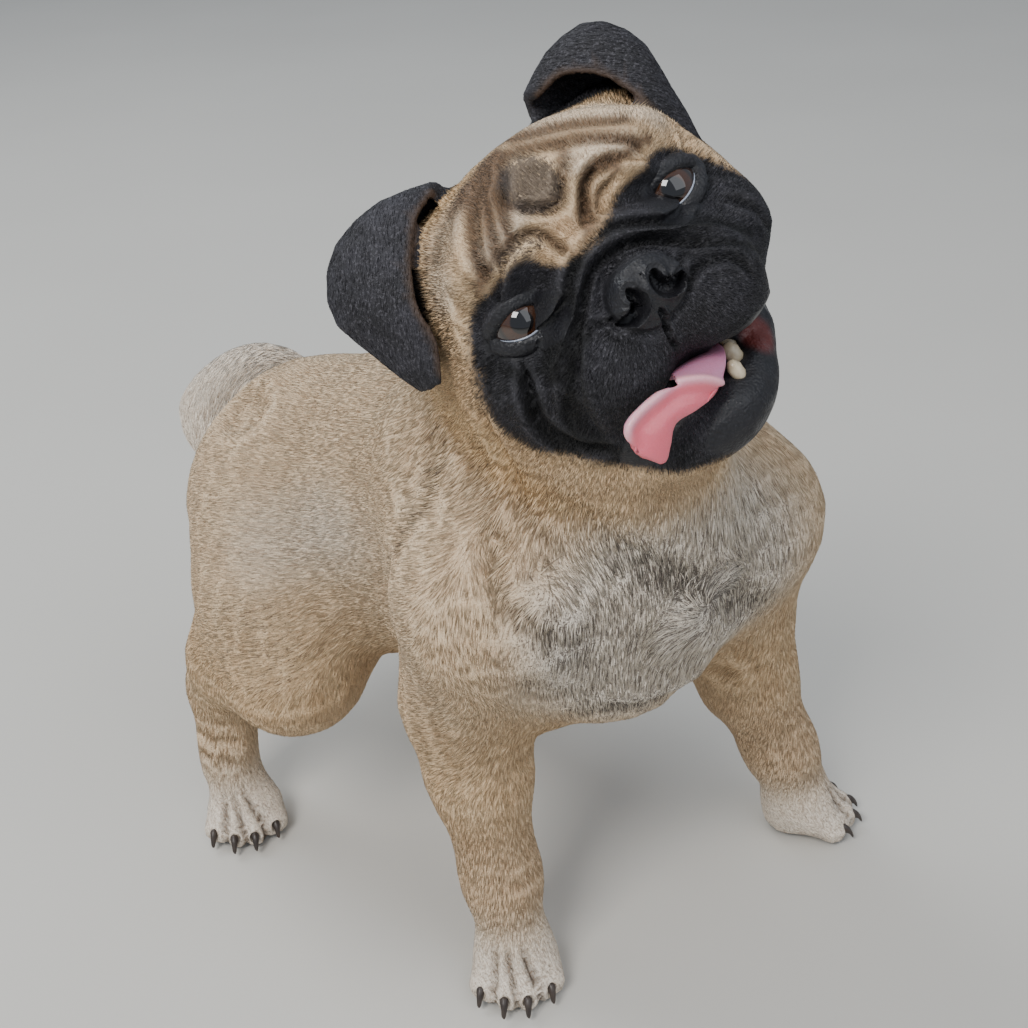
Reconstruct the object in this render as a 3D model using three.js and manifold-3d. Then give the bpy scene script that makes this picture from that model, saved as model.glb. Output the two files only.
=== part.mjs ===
// A pug, life size, as a still museum model: it stands on four feet, turns and tilts its head,
// and pants with its tongue out. Millimetres, +Z up. The dog faces -Y and its left side is +X.
// Flesh is one smooth form, blended from named muscles and bones, wrapped in a mesh and parted
// by thin cuts. Ears, tongue, claws and teeth are lofted or turned, and set in what they grow from.
import * as THREE from "three";
import { mergeVertices } from "three/addons/utils/BufferGeometryUtils.js";
import Module from "manifold-3d";

// Driving sizes
const gap = 0.3; // between nodes that touch
const eyeSpread = 35; // half the distance between the pupils
const eyeRadius = 11.8;
const eyeOpening = [18.5, 10];
const earThickness = 3;
const clawLength = 8;

// Colours
const fawn = 0xcdb08a;
const paleFawn = 0xd8c6a8;
const cream = 0xe4d9c6;
const silver = 0xb0a898;
const mask = 0x26211f;
const tongueColour = 0xe0808c;
const toothColour = 0xe8e0cc;
const eyeColour = 0x4a2c18;
const clawColour = 0x1f1b1a;

const wasm = await Module();
wasm.setup();

// The head's own frame: origin between the eyes, +X to the dog's left, -Y out of the face.
const headOrigin = new THREE.Vector3(-45, -65, 376);
const faceDirection = new THREE.Vector3(-0.468, -0.811, 0.352).normalize();
const headLeft = new THREE.Vector3(0.83, -0.267, 0.489);
const headBack = faceDirection.clone().negate();
headLeft.addScaledVector(headBack, -headLeft.dot(headBack)).normalize();
const headUp = new THREE.Vector3().crossVectors(headLeft, headBack);
const headFrame = new THREE.Matrix4().makeBasis(headLeft, headBack, headUp).setPosition(headOrigin);
const bodyFrame = new THREE.Matrix4();

// Forms: functions of a point, negative inside and about a distance in millimetres

// An ellipsoid, which may lean forward or back by an angle in degrees about X.
function egg([cx, cy, cz], [rx, ry, rz], lean = 0) {
  const c = Math.cos(THREE.MathUtils.degToRad(lean));
  const s = Math.sin(THREE.MathUtils.degToRad(lean));
  return (x, y, z) => {
    const dx = x - cx;
    const dy = c * (y - cy) + s * (z - cz);
    const dz = c * (z - cz) - s * (y - cy);
    const k0 = Math.hypot(dx / rx, dy / ry, dz / rz);
    const k1 = Math.hypot(dx / rx ** 2, dy / ry ** 2, dz / rz ** 2);
    return k1 < 1e-9 ? -Math.min(rx, ry, rz) : (k0 * (k0 - 1)) / k1;
  };
}

// A tapered limb with round ends, of radius ra at a and rb at b.
function limb([ax, ay, az], [bx, by, bz], ra, rb) {
  const [vx, vy, vz] = [bx - ax, by - ay, bz - az];
  const length2 = vx * vx + vy * vy + vz * vz;
  return (x, y, z) => {
    const [dx, dy, dz] = [x - ax, y - ay, z - az];
    const t = Math.min(1, Math.max(0, (dx * vx + dy * vy + dz * vz) / length2));
    return Math.hypot(dx - t * vx, dy - t * vy, dz - t * vz) - (ra + (rb - ra) * t);
  };
}

// A chain of limbs through [x, y, z, radius] points.
function chain(...points) {
  return points.slice(1).map((p, i) => limb(points[i], p, points[i][3], p[3]));
}

// A smooth tube through [x, y, z, radius] points.
function tube(steps, ...points) {
  const along = new THREE.CatmullRomCurve3(points.map(([x, y, z]) => new THREE.Vector3(x, y, z)));
  const across = new THREE.CatmullRomCurve3(points.map((p, i) => new THREE.Vector3(i, p[3], 0)));
  const stations = Array.from({ length: steps + 1 }, (_, i) => {
    const t = i / steps;
    return [...along.getPoint(t).toArray(), across.getPoint(t).y];
  });
  return chain(...stations);
}

// Joins forms with a fillet about as wide as the reach.
function blend(reach, ...forms) {
  const parts = forms.flat();
  return (x, y, z) => {
    let d = parts[0](x, y, z);
    for (let i = 1; i < parts.length; i++) {
      const e = parts[i](x, y, z);
      const h = Math.max(reach - Math.abs(d - e), 0) / reach;
      d = Math.min(d, e) - (h * h * reach) / 4;
    }
    return d;
  };
}

// Takes one form out of another, with a rounded edge.
function carve(reach, form, ...hollows) {
  const cut = blend(reach, ...hollows);
  return (x, y, z) => {
    const [d, e] = [form(x, y, z), -cut(x, y, z)];
    const h = Math.max(reach - Math.abs(d - e), 0) / reach;
    return Math.max(d, e) + (h * h * reach) / 4;
  };
}

// A form seen from another frame: the result takes points of the outer frame.
function placed(form, frame) {
  const m = frame.clone().invert().elements;
  return (x, y, z) =>
    form(
      m[0] * x + m[4] * y + m[8] * z + m[12],
      m[1] * x + m[5] * y + m[9] * z + m[13],
      m[2] * x + m[6] * y + m[10] * z + m[14],
    );
}

const bothSides = (make) => [make(-1), make(1)].flat();

// Wraps a form in a closed mesh of about even faces, inside a box from low to high.
// Each grid cell that the surface passes through gets one vertex, moved onto the surface,
// and each grid edge that it crosses gets a four-sided face.
function wrap(form, low, high, cell) {
  const count = low.map((l, i) => Math.ceil((high[i] - l) / cell) + 1);
  const stride = [1, count[0], count[0] * count[1]];
  const values = new Float32Array(stride[2] * count[2]).fill(cell);
  const at = (i, axis) => low[axis] + i * cell;
  for (let k = 1; k < count[2] - 1; k++)
    for (let j = 1; j < count[1] - 1; j++)
      for (let i = 1; i < count[0] - 1; i++)
        values[i + j * stride[1] + k * stride[2]] = form(at(i, 0), at(j, 1), at(k, 2)) || 1e-6;

  const corners = Array.from({ length: 8 }, (_, n) => [n & 1, (n >> 1) & 1, (n >> 2) & 1]);
  const edges = corners.flatMap((c, n) => [0, 1, 2].filter((a) => !c[a]).map((a) => [n, n | (1 << a)]));
  const vertexOf = new Int32Array(values.length).fill(-1);
  const positions = [];
  for (let k = 0; k < count[2] - 1; k++)
    for (let j = 0; j < count[1] - 1; j++)
      for (let i = 0; i < count[0] - 1; i++) {
        const base = i + j * stride[1] + k * stride[2];
        const v = corners.map((c) => values[base + c[0] + c[1] * stride[1] + c[2] * stride[2]]);
        const sum = [0, 0, 0];
        let crossings = 0;
        for (const [a, b] of edges) {
          if (v[a] < 0 === v[b] < 0) continue;
          const t = v[a] / (v[a] - v[b]);
          for (let axis = 0; axis < 3; axis++)
            sum[axis] += corners[a][axis] + t * (corners[b][axis] - corners[a][axis]);
          crossings++;
        }
        if (!crossings) continue;
        const p = sum.map((s, axis) => at([i, j, k][axis] + s / crossings, axis));
        const inner = [i, j, k].every((n, axis) => n > 0 && n < count[axis] - 2);
        vertexOf[base] = positions.length / 3;
        positions.push(...(inner ? ontoSurface(form, p, cell) : p));
      }

  const index = [];
  for (let axis = 0; axis < 3; axis++) {
    const [s, t] = [stride[(axis + 1) % 3], stride[(axis + 2) % 3]];
    for (let n = 0; n < values.length - stride[axis]; n++) {
      if (values[n] < 0 === values[n + stride[axis]] < 0) continue;
      const quad = [n - s - t, n - t, n, n - s].map((c) => vertexOf[c]);
      if (values[n] >= 0) quad.reverse();
      index.push(...splitQuad(quad, positions));
    }
  }
  return new THREE.BufferGeometry()
    .setAttribute("position", new THREE.Float32BufferAttribute(positions, 3))
    .setIndex(index);
}

// Moves a point along the form's gradient onto its surface, by at most half a cell.
function ontoSurface(form, [x, y, z], cell) {
  const h = cell / 20;
  const d = form(x, y, z);
  const g = [
    form(x + h, y, z) - form(x - h, y, z),
    form(x, y + h, z) - form(x, y - h, z),
    form(x, y, z + h) - form(x, y, z - h),
  ].map((v) => v / (2 * h));
  const slope2 = Math.max(0.25, g[0] ** 2 + g[1] ** 2 + g[2] ** 2);
  const step = THREE.MathUtils.clamp(d / slope2, -cell / 2, cell / 2);
  return [x - g[0] * step, y - g[1] * step, z - g[2] * step];
}

// Two triangles on the shorter diagonal.
function splitQuad([a, b, c, d], positions) {
  const apart = (m, n) =>
    Math.hypot(...[0, 1, 2].map((i) => positions[3 * m + i] - positions[3 * n + i]));
  return apart(a, c) < apart(b, d) ? [a, b, c, a, c, d] : [a, b, d, b, c, d];
}

// Rings of equal count joined into a closed skin, with a fan on each end.
function loft(rings) {
  const around = rings[0].length;
  const points = [...rings.flat(), centreOf(rings[0]), centreOf(rings.at(-1))];
  const index = [];
  for (let i = 0; i < around; i++) {
    const next = (i + 1) % around;
    for (let r = 0; r < rings.length - 1; r++) {
      const [a, b] = [r * around + i, r * around + next];
      index.push(a, b, b + around, a, b + around, a + around);
    }
    const last = (rings.length - 1) * around;
    index.push(points.length - 2, next, i, points.length - 1, last + i, last + next);
  }
  return new THREE.BufferGeometry().setFromPoints(points).setIndex(index);
}

function centreOf(ring) {
  const sum = new THREE.Vector3();
  for (const p of ring) sum.add(p);
  return sum.divideScalar(ring.length);
}

// Solids

function solidOf(geometry, frame = bodyFrame) {
  const bare = new THREE.BufferGeometry()
    .setAttribute("position", geometry.getAttribute("position").clone())
    .setIndex(geometry.index)
    .applyMatrix4(frame);
  const merged = mergeVertices(bare, 1e-3);
  const made = new wasm.Manifold(
    new wasm.Mesh({
      numProp: 3,
      vertProperties: merged.attributes.position.array,
      triVerts: new Uint32Array(merged.index.array),
    }),
  );
  return made.volume() < 0 ? solidOf(turnedOver(merged)) : made;
}

function turnedOver(geometry) {
  const index = [...geometry.index.array];
  for (let i = 0; i < index.length; i += 3) [index[i], index[i + 1]] = [index[i + 1], index[i]];
  return geometry.clone().setIndex(index);
}

const cutAt = (point, normal) => ({
  point: new THREE.Vector3(...point),
  normal: new THREE.Vector3(...normal).normalize(),
});
const opposite = ({ point, normal }) => ({ point, normal: normal.clone().negate() });

// Everything on the side of a cut that its normal points to, set back by half the gap or more.
function beyond({ point, normal }, setBack = gap / 2) {
  const size = 1200;
  const turn = new THREE.Quaternion().setFromUnitVectors(new THREE.Vector3(0, 0, 1), normal);
  const centre = point.clone().addScaledVector(normal, size / 2 + setBack);
  const frame = new THREE.Matrix4().compose(centre, turn, new THREE.Vector3(1, 1, 1));
  return solidOf(new THREE.BoxGeometry(size, size, size), frame);
}

function boxBetween(low, high) {
  const size = high.map((h, i) => h - low[i]);
  const centre = high.map((h, i) => (h + low[i]) / 2);
  return solidOf(
    new THREE.BoxGeometry(...size),
    new THREE.Matrix4().makeTranslation(...centre),
  );
}

const inHead = (x, y, z) => new THREE.Vector3(x, y, z).applyMatrix4(headFrame);
const inHeadDirection = (x, y, z) => new THREE.Vector3(x, y, z).transformDirection(headFrame);

// Torso: rib cage, breast, withers, loin, belly and rump. The spine bends to the right behind.
const torsoForm = blend(
  34,
  egg([0, 42, 214], [77, 100, 78], -8),
  egg([2, -22, 200], [66, 46, 60], -10),
  egg([0, 28, 262], [52, 62, 30], -8),
  limb([-8, 110, 204], [-20, 160, 194], 64, 60),
  egg([-12, 112, 178], [56, 66, 40], 6),
  egg([-22, 164, 188], [58, 46, 52], -12),
);

// Neck: a thick column up into the skull, with loose skin at the throat
const neckForm = blend(
  26,
  limb([0, 8, 250], [-20, -14, 335], 60, 52),
  limb([0, -36, 240], [-30, -52, 312], 46, 40),
);

// Legs: each from its named joints, as [x, y, z, radius], with the paw's heading in degrees
// outward from straight ahead
const legs = {
  fore_right: {
    side: -1,
    joints: {
      blade: [-46, 18, 262, 34],
      shoulder: [-66, -20, 226, 38],
      elbow: [-64, 6, 158, 27],
      forearm: [-62, 2, 118, 23],
      wrist: [-60, -6, 58, 17.5],
      pastern: [-61, -12, 30, 17],
    },
    paw: [-61, -15],
    heading: 42,
    upperCut: 140,
    pawCut: 38,
    inner: -46,
    reach: [-68, 52],
    top: 262,
  },
  fore_left: {
    side: 1,
    joints: {
      blade: [46, 4, 256, 34],
      shoulder: [66, -36, 214, 38],
      elbow: [82, -24, 142, 28],
      forearm: [89, -28, 108, 24],
      wrist: [107, -38, 56, 18],
      pastern: [115, -43, 30, 17.5],
    },
    paw: [118, -47],
    heading: 48,
    upperCut: 128,
    pawCut: 38,
    inner: 46,
    reach: [-84, 40],
    top: 256,
  },
  hind_right: {
    side: -1,
    joints: {
      hip: [-50, 160, 186, 46],
      thigh: [-68, 138, 156, 45],
      knee: [-80, 122, 128, 36],
      shin: [-87, 160, 116, 28],
      hock: [-90, 184, 87, 17.5],
      pastern: [-96, 182, 36, 17],
    },
    paw: [-96, 172],
    heading: 34,
    upperCut: 104,
    pawCut: 38,
    inner: -58,
    reach: [70, 240],
    top: 226,
  },
  hind_left: {
    side: 1,
    joints: {
      hip: [14, 158, 186, 46],
      thigh: [34, 138, 160, 46],
      knee: [46, 118, 128, 35],
      shin: [47, 152, 116, 28],
      hock: [48, 176, 87, 17.5],
      pastern: [52, 173, 36, 17],
    },
    paw: [54, 162],
    heading: 14,
    upperCut: 104,
    pawCut: 38,
    inner: 22,
    reach: [70, 240],
    top: 226,
  },
};

// A paw: four arched toes, the two middle ones ahead, round one heel pad
const toeSpread = [-15, -5.2, 5.2, 15];
const toeReach = [15, 22, 22, 14];
const toeTurn = [-15, -4, 4, 15];

function pawFrame({ paw: [x, y], side, heading }) {
  const turn = THREE.MathUtils.degToRad(side * heading);
  return new THREE.Matrix4().makeTranslation(x, y, 0).multiply(new THREE.Matrix4().makeRotationZ(turn));
}

function toeForms() {
  return toeSpread.map((x, i) => {
    const turn = Math.sin(THREE.MathUtils.degToRad(toeTurn[i]));
    const knuckle = [x * 0.85, -toeReach[i] + 10, 13, 8.6];
    const tip = [x * 0.95 + turn * 8, -toeReach[i], 7.5, 7.9];
    return chain(knuckle, tip)[0];
  });
}

const pawForm = blend(
  7,
  egg([0, 2, 13], [18, 19, 14.5]),
  egg([0, 9, 6.5], [12, 10, 8]),
  toeForms(),
);

const legForms = Object.values(legs).map((leg) =>
  blend(14, chain(...Object.values(leg.joints)), placed(pawForm, pawFrame(leg))),
);

// Tail: one tight curl that rises behind the rump and lies over towards the left hip
const tailForm = blend(
  4,
  egg([-15, 225, 210], [22, 10, 16]),
  tube(
    14,
    [-32, 196, 196, 19],
    [-42, 228, 197, 15],
    [-44, 240, 212, 14],
    [-28, 239, 226, 13],
    [-8, 237, 228, 12.5],
    [9, 234, 219, 11],
    [14, 229, 207, 8],
  ),
);

// Head, in its own frame
const craniumForms = [
  egg([0, 46, 4], [57, 46, 44]),
  egg([0, 20, 22], [40, 24, 24]),
  ...bothSides((s) => [
    egg([s * 38, 42, -16], [28, 36, 38]),
    egg([s * 40, 46, 24], [19, 18, 19]),
    egg([s * 26, 9, 19], [22, 15, 13]),
    egg([s * eyeSpread, 12, 1], [17, 15, 15]),
    egg([s * 40, 14, -22], [19, 18, 16]),
  ]),
  egg([0, 38, -44], [44, 40, 30]),
];
const muzzleForms = [
  egg([0, -2, -20], [26, 22, 22]),
  ...bothSides((s) => [
    egg([s * 19, -7, -30], [20, 19, 18]),
    limb([s * 24, -6, -34], [s * 30, 2, s < 0 ? -48 : -42], 15, 11),
  ]),
];
const noseForm = blend(
  4,
  egg([0, -22, -13], [10.5, 8, 9.5]),
  ...bothSides((s) => [egg([s * 7, -23, -16.5], [6.2, 6.5, 7])]),
);
const noseRoll = tube(
  16,
  [-40, 8, -30, 6.5],
  [-30, -2, -13, 6.5],
  [-16, -9, 0, 6],
  [0, -11, 4, 5.5],
  [16, -9, 0, 6],
  [30, -2, -13, 6.5],
  [40, 8, -30, 6.5],
);

// Lower jaw, dropped open and slipped a little to the left
const jawForm = blend(
  10,
  egg([0, 3, -71], [23, 16, 14]),
  limb([21, 8, -65], [34, 20, -58], 9, 7),
  limb([-18, 6, -68], [-34, 28, -56], 12, 14),
  egg([-2, 30, -66], [36, 28, 19]),
);
// The open mouth: a hollow between the lips that narrows to its left corner
const mouthForm = blend(
  5,
  limb([-17, -34, -54], [-10, 12, -54], 6, 5),
  limb([-4, -34, -55], [2, 16, -54], 8, 6),
  limb([12, -30, -56], [14, 12, -55], 6.5, 5.5),
  limb([24, -14, -55], [25, 8, -54], 4, 3.5),
  limb([32, -8, -53], [34, 10, -52], 2.6, 2.2),
);
const headForm = blend(
  6,
  blend(8, blend(13, craniumForms), blend(9, muzzleForms), blend(4, noseRoll)),
  jawForm,
);

const bodyForm = blend(24, torsoForm, neckForm, ...legForms);
const headAndNeck = blend(16, placed(headForm, headFrame), bodyForm);
const nostrilForms = bothSides((s) => [
  blend(
    2,
    limb([s * 6, -38, -16], [s * 7, -22, -17], 2.4, 2.4),
    limb([s * 8, -36, -18], [s * 11, -24, -18], 1.8, 1.5),
  ),
]);

// The face as it shows: nose set in, mouth and sockets carved out
const flesh = blend(4, headAndNeck, placed(noseForm, headFrame));
const openFlesh = carve(3, flesh, placed(mouthForm, headFrame));

// A form's mesh inside a box of the frame it is wrapped in.
function fleshIn(form, low, high, cell, frame = bodyFrame) {
  const local = frame === bodyFrame ? form : placed(form, frame.clone().invert());
  return solidOf(wrap(local, low, high, cell), frame);
}

// Cuts
const neckTop = cutAt(inHead(0, 60, 16), inHeadDirection(0, -0.885, 0.468));
const faceCut = cutAt(inHead(0, 24, 0), inHeadDirection(0, -1, 0));
const neckBase = cutAt([-4, -18, 258], [0, -0.66, 0.75]);
const loinCut = cutAt([-8, 104, 205], [-0.1, -1, 0]);
const tailCut = cutAt([0, 216, 0], [0, 1, 0]);
const legNames = { fore: ["upper_arm", "forearm"], hind: ["thigh", "shank"] };
const legCells = [14.5, 10.5, 7];

const nodes = [];
function add(name, solid, colour, roughness = 0.85) {
  const largest = solid.decompose().sort((a, b) => b.volume() - a.volume())[0];
  nodes.push({ name, solid: largest, colour, roughness });
  return largest;
}

// Legs: three lengths each, in boxes one above the other. The lower two start further in than
// the upper one and reach further forward, to take in the whole forearm or shank and the paw.
const outerLimit = { right: -170, left: 190 };
const innerLimit = { right: -22, left: 12 };
const forwardReach = [0, 14, 40];
const legRegions = [];
for (const [name, leg] of Object.entries(legs)) {
  const [y0, y1] = leg.reach;
  const flank = leg.side < 0 ? "right" : "left";
  const outer = outerLimit[flank];
  const clear = innerLimit[flank];
  const [upperReach, lowerReach, pawReach] = forwardReach;
  const box = (inner, front, bottom, top) =>
    boxBetween(
      [Math.min(inner, outer), y0 - front, bottom + gap / 2],
      [Math.max(inner, outer), y1, top - gap / 2],
    );
  const regions = [
    box(leg.inner, upperReach, leg.upperCut, leg.top),
    box(clear, lowerReach, leg.pawCut, leg.upperCut),
    box(clear, pawReach, -gap / 2, leg.pawCut),
  ];
  const [upper, lower] = legNames[name.slice(0, 4)];
  const claws = toeClaws(leg, 0);
  const clawHoles = toeClaws(leg, gap);
  regions.forEach((region, i) => {
    const { min, max } = region.boundingBox();
    const pad = 2.2 * legCells[i];
    const low = min.map((v) => v - pad);
    const high = max.map((v) => v + pad);
    let piece = fleshIn(bodyForm, low, high, legCells[i]).intersect(region);
    if (i === 2) for (const hole of clawHoles) piece = piece.subtract(hole);
    add(`${[upper, lower, "paw"][i]}_${name}`, piece, i === 2 ? cream : fawn);
    legRegions.push(boxBetween(min.map((v) => v - gap), max.map((v) => v + gap)));
  });
  claws.forEach((claw, i) => add(`claw_${i + 1}_${name}`, claw, clawColour, 0.35));
}

// Torso in two lengths, neck and tail
const withoutLegs = (solid) => legRegions.reduce((s, region) => s.subtract(region), solid);
const trunk = withoutLegs(fleshIn(bodyForm, [-110, -110, 90], [110, 250, 330], 17))
  .subtract(beyond(neckBase, -gap))
  .subtract(beyond(tailCut, -gap));
add("chest", trunk.intersect(beyond(loinCut)), silver);
add("loin", trunk.intersect(beyond(opposite(loinCut))), fawn);
const neckWrap = withoutLegs(fleshIn(headAndNeck, [-120, -130, 190], [90, 80, 400], 13.5));
add("neck", neckWrap.intersect(beyond(neckBase)).intersect(beyond(opposite(neckTop))), paleFawn);
const tailed = blend(12, bodyForm, tailForm);
const tailWrap = fleshIn(tailed, [-75, 200, 160], [40, 265, 255], 7.2);
add("tail", tailWrap.intersect(beyond(tailCut)), cream);

// Ears: a hood each, set in the skull along its back edge, with the cup open to the front.
// Each section runs from the root over the crest to the free edge, and they go out to the tip.
// The right ear is held wider and further back than the left.
const earSections = {
  right: [
    [[19, 50, 43], [23, 48, 50], [27, 41, 49]],
    [[36, 59, 40], [46, 49, 57], [38, 35, 46]],
    [[53, 62, 32], [68, 49, 53], [51, 27, 34]],
    [[63, 58, 21], [81, 45, 37], [58.5, 21, 22]],
    [[69, 47, 13], [78, 35, 18], [60, 20, 11]],
    [[70, 37, 2], [74, 30, -2], [68, 22, -3]],
  ],
  left: [
    [[19, 50, 46], [22, 48, 54], [24.5, 41, 52]],
    [[31, 55, 42], [39, 48, 60.5], [33.5, 35, 53]],
    [[43, 55, 36], [55, 44, 60], [43, 27, 45]],
    [[50, 49, 26], [63, 37, 46], [46.5, 18, 31]],
    [[54, 40, 17], [60, 30, 26], [47, 15, 20]],
    [[54, 30, 9], [57, 24, 8], [51, 16, 6]],
  ],
};
function ear(name, grow) {
  const steps = 6;
  const outward = name === "left" ? 1 : -1;
  const curves = earSections[name].map((section) => {
    const points = section.map(([x, y, z]) => new THREE.Vector3(outward * x, y, z));
    return new THREE.QuadraticBezierCurve3(points[0], overCrest(points), points[2]);
  });
  const lanes = Array.from({ length: steps + 1 }, (_, i) =>
    new THREE.CatmullRomCurve3(curves.map((curve) => curve.getPoint(i / steps))),
  );
  const stations = Array.from({ length: 12 }, (_, k) => k / 11);
  const rings = stations.map((t) => {
    const outer = [];
    const inner = [];
    lanes.forEach((lane, i) => {
      const p = lane.getPoint(t);
      const next = lanes[Math.min(i + 1, steps)].getPoint(t);
      const last = lanes[Math.max(i - 1, 0)].getPoint(t);
      const tangent = lane.getTangent(t);
      const sideways = next.sub(last).normalize();
      const over = sideways.clone().cross(tangent).normalize().multiplyScalar(outward);
      p.addScaledVector(tangent, endShift(t) * grow).addScaledVector(sideways, endShift(i / steps) * grow);
      const edge = i === 0 || i === steps ? 0.55 : 1;
      const half = (earThickness / 2) * edge * (t === 1 ? 0.6 : 1) + grow;
      outer.push(p.clone().addScaledVector(over, half));
      inner.unshift(p.clone().addScaledVector(over, -half));
    });
    return [...outer, ...inner];
  });
  return solidOf(loft(rings), headFrame);
}

// Moves the two ends of a lofted piece outward when it is grown.
const endShift = (t) => (t === 0 ? -1 : t === 1 ? 1 : 0);

// The control point that makes a Bezier curve pass over the crest half-way.
function overCrest([root, crest, edge]) {
  return crest.clone().multiplyScalar(2).addScaledVector(root, -0.5).addScaledVector(edge, -0.5);
}

// Tongue: comes out between the teeth, folds over the lower lip and hangs to the dog's right.
// Each station is a centre, a direction across and a half width.
const tongueStations = [
  [[6, 20, -55], [1, 0, 0], 9],
  [[5, 6, -53], [1, 0, -0.1], 10.5],
  [[0, -8, -51.5], [0.9, 0.15, -0.45], 12.5],
  [[-5, -17, -53], [0.8, 0.28, -0.6], 14.5],
  [[-12, -21, -55.5], [0.74, 0.25, -0.62], 11.5],
  [[-18, -23, -55.5], [0.62, 0.2, -0.75], 9.8],
  [[-24, -24.5, -55.5], [0.55, 0.15, -0.8], 9.3],
  [[-30.5, -25, -56], [0.45, 0.1, -0.87], 9.2],
  [[-35.5, -25, -57], [0.45, 0.1, -0.87], 5.5],
];
function tongue(grow) {
  const centres = new THREE.CatmullRomCurve3(tongueStations.map(([c]) => new THREE.Vector3(...c)));
  const across = new THREE.CatmullRomCurve3(tongueStations.map(([, a]) => new THREE.Vector3(...a)));
  const widths = new THREE.CatmullRomCurve3(
    tongueStations.map(([, , w], i) => new THREE.Vector3(i, w, 0)),
  );
  const rings = Array.from({ length: 13 }, (_, k) => {
    const t = k / 12;
    const tangent = centres.getTangent(t);
    const c = centres.getPoint(t).addScaledVector(tangent, endShift(t) * grow);
    const w = across.getPoint(t).normalize();
    const up = new THREE.Vector3().crossVectors(w, tangent).normalize();
    const half = widths.getPoint(t).y * (t === 1 ? 0.5 : 1) + grow;
    return Array.from({ length: 10 }, (_, i) => {
      const a = (i / 10) * Math.PI * 2;
      return c
        .clone()
        .addScaledVector(w, Math.cos(a) * half)
        .addScaledVector(up, Math.sin(a) * (2.2 + grow));
    });
  });
  return solidOf(loft(rings), headFrame);
}

// Teeth of the lower jaw at its left, where the mouth shows them
const toothSpots = [[12.5, -4, -60.5, 2.6], [17, 4.5, -57.5, 3], [20.5, 11.5, -54.5, 3]];
function tooth([x, y, z, size], grow) {
  const crown = new THREE.SphereGeometry(1, 8, 6);
  crown.scale(size + grow, size * 0.9 + grow, size * 1.7 + grow);
  return solidOf(crown, headFrame.clone().multiply(new THREE.Matrix4().makeTranslation(x, y, z)));
}

// Claws: short dark hooks set in the toes
function toeClaws(leg, grow) {
  return toeSpread.map((x, i) => {
    const turn = Math.sin(THREE.MathUtils.degToRad(toeTurn[i]));
    const root = new THREE.Vector3(x * 0.95 + turn * 8, -toeReach[i] - 3.5, 10);
    const spine = new THREE.QuadraticBezierCurve3(
      root,
      root.clone().add(new THREE.Vector3(turn * 4, -clawLength * 0.7, 0)),
      root.clone().add(new THREE.Vector3(turn * 6, -clawLength, -7)),
    );
    const rings = [3.2, 3, 2.2, 0.9].map((r, k) => {
      const c = spine.getPoint(k / 3);
      return Array.from({ length: 6 }, (_, j) => {
        const a = (j / 6) * Math.PI * 2;
        const [out, rise] = [Math.cos(a) * (r * 0.75 + grow), Math.sin(a) * (r + grow)];
        return new THREE.Vector3(c.x + out, c.y, c.z + rise);
      });
    });
    return solidOf(loft(rings), pawFrame(leg));
  });
}

// Eyes: each ball sits in a socket behind lids that leave an almond opening
const eyeLevel = (s) => (s < 0 ? -2 : 0.5);
function eyeBall(s, grow) {
  const spot = headFrame.clone().multiply(new THREE.Matrix4().makeTranslation(s * 34, 11, eyeLevel(s)));
  return solidOf(new THREE.SphereGeometry(eyeRadius + grow, 16, 10), spot);
}
function eyeSlit(s) {
  const [w, h] = eyeOpening.map((v) => v / 2);
  const almond = new THREE.Shape()
    .moveTo(-w, 0)
    .bezierCurveTo(-w * 0.5, h * 1.35, w * 0.5, h * 1.35, w, 0)
    .bezierCurveTo(w * 0.5, -h * 1.3, -w * 0.5, -h * 1.3, -w, 0);
  const slit = new THREE.ExtrudeGeometry(almond, { depth: 30, bevelEnabled: false, curveSegments: 6 });
  const spot = headFrame
    .clone()
    .multiply(new THREE.Matrix4().makeTranslation(s * eyeSpread, 4.6, eyeLevel(s)))
    .multiply(new THREE.Matrix4().makeRotationY(THREE.MathUtils.degToRad(-s * 9)))
    .multiply(new THREE.Matrix4().makeRotationX(Math.PI / 2));
  return solidOf(slit, spot);
}

const setIn = [0, gap].flatMap((grow) => [
  ...["right", "left"].map((name) => ear(name, grow)),
  ...toothSpots.map((spot) => tooth(spot, grow)),
  tongue(grow),
]);
const removeAll = (solid, cutters) => cutters.reduce((s, cutter) => s.subtract(cutter), solid);

// Head: skull behind, face in front
const skullWrap = fleshIn(openFlesh, [-85, 0, -100], [85, 115, 70], 10, headFrame);
const skull = skullWrap.intersect(beyond(neckTop)).intersect(beyond(opposite(faceCut)));
add("skull", removeAll(skull, setIn), fawn);
const faceWrap = fleshIn(openFlesh, [-84, -48, -100], [84, 40, 62], 5.5, headFrame);
const face = faceWrap.intersect(beyond(neckTop)).intersect(beyond(faceCut));
const sockets = bothSides((s) => [eyeBall(s, gap), eyeSlit(s)]);
const nostrils = nostrilForms.map((form) =>
  solidOf(wrap(form, [-22, -44, -26], [22, -12, -4], 1.6), headFrame),
);
add("face", removeAll(face, [...setIn, ...sockets, ...nostrils]), mask);

for (const name of ["right", "left"]) add(`ear_${name}`, ear(name, 0), mask);
add("eye_right", eyeBall(-1, 0), eyeColour, 0.05);
add("eye_left", eyeBall(1, 0), eyeColour, 0.05);
const toothHoles = toothSpots.map((spot) => tooth(spot, gap));
add("tongue", removeAll(tongue(0), toothHoles), tongueColour, 0.35);
toothSpots.forEach((spot, i) => add(`tooth_${i + 1}`, tooth(spot, 0), toothColour, 0.3));

// The model's origin is on the floor, under the middle of its outline
const low = new THREE.Vector3(Infinity, Infinity, Infinity);
const high = low.clone().negate();
for (const { solid } of nodes) {
  const { min, max } = solid.boundingBox();
  low.min(new THREE.Vector3(...min));
  high.max(new THREE.Vector3(...max));
}

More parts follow.
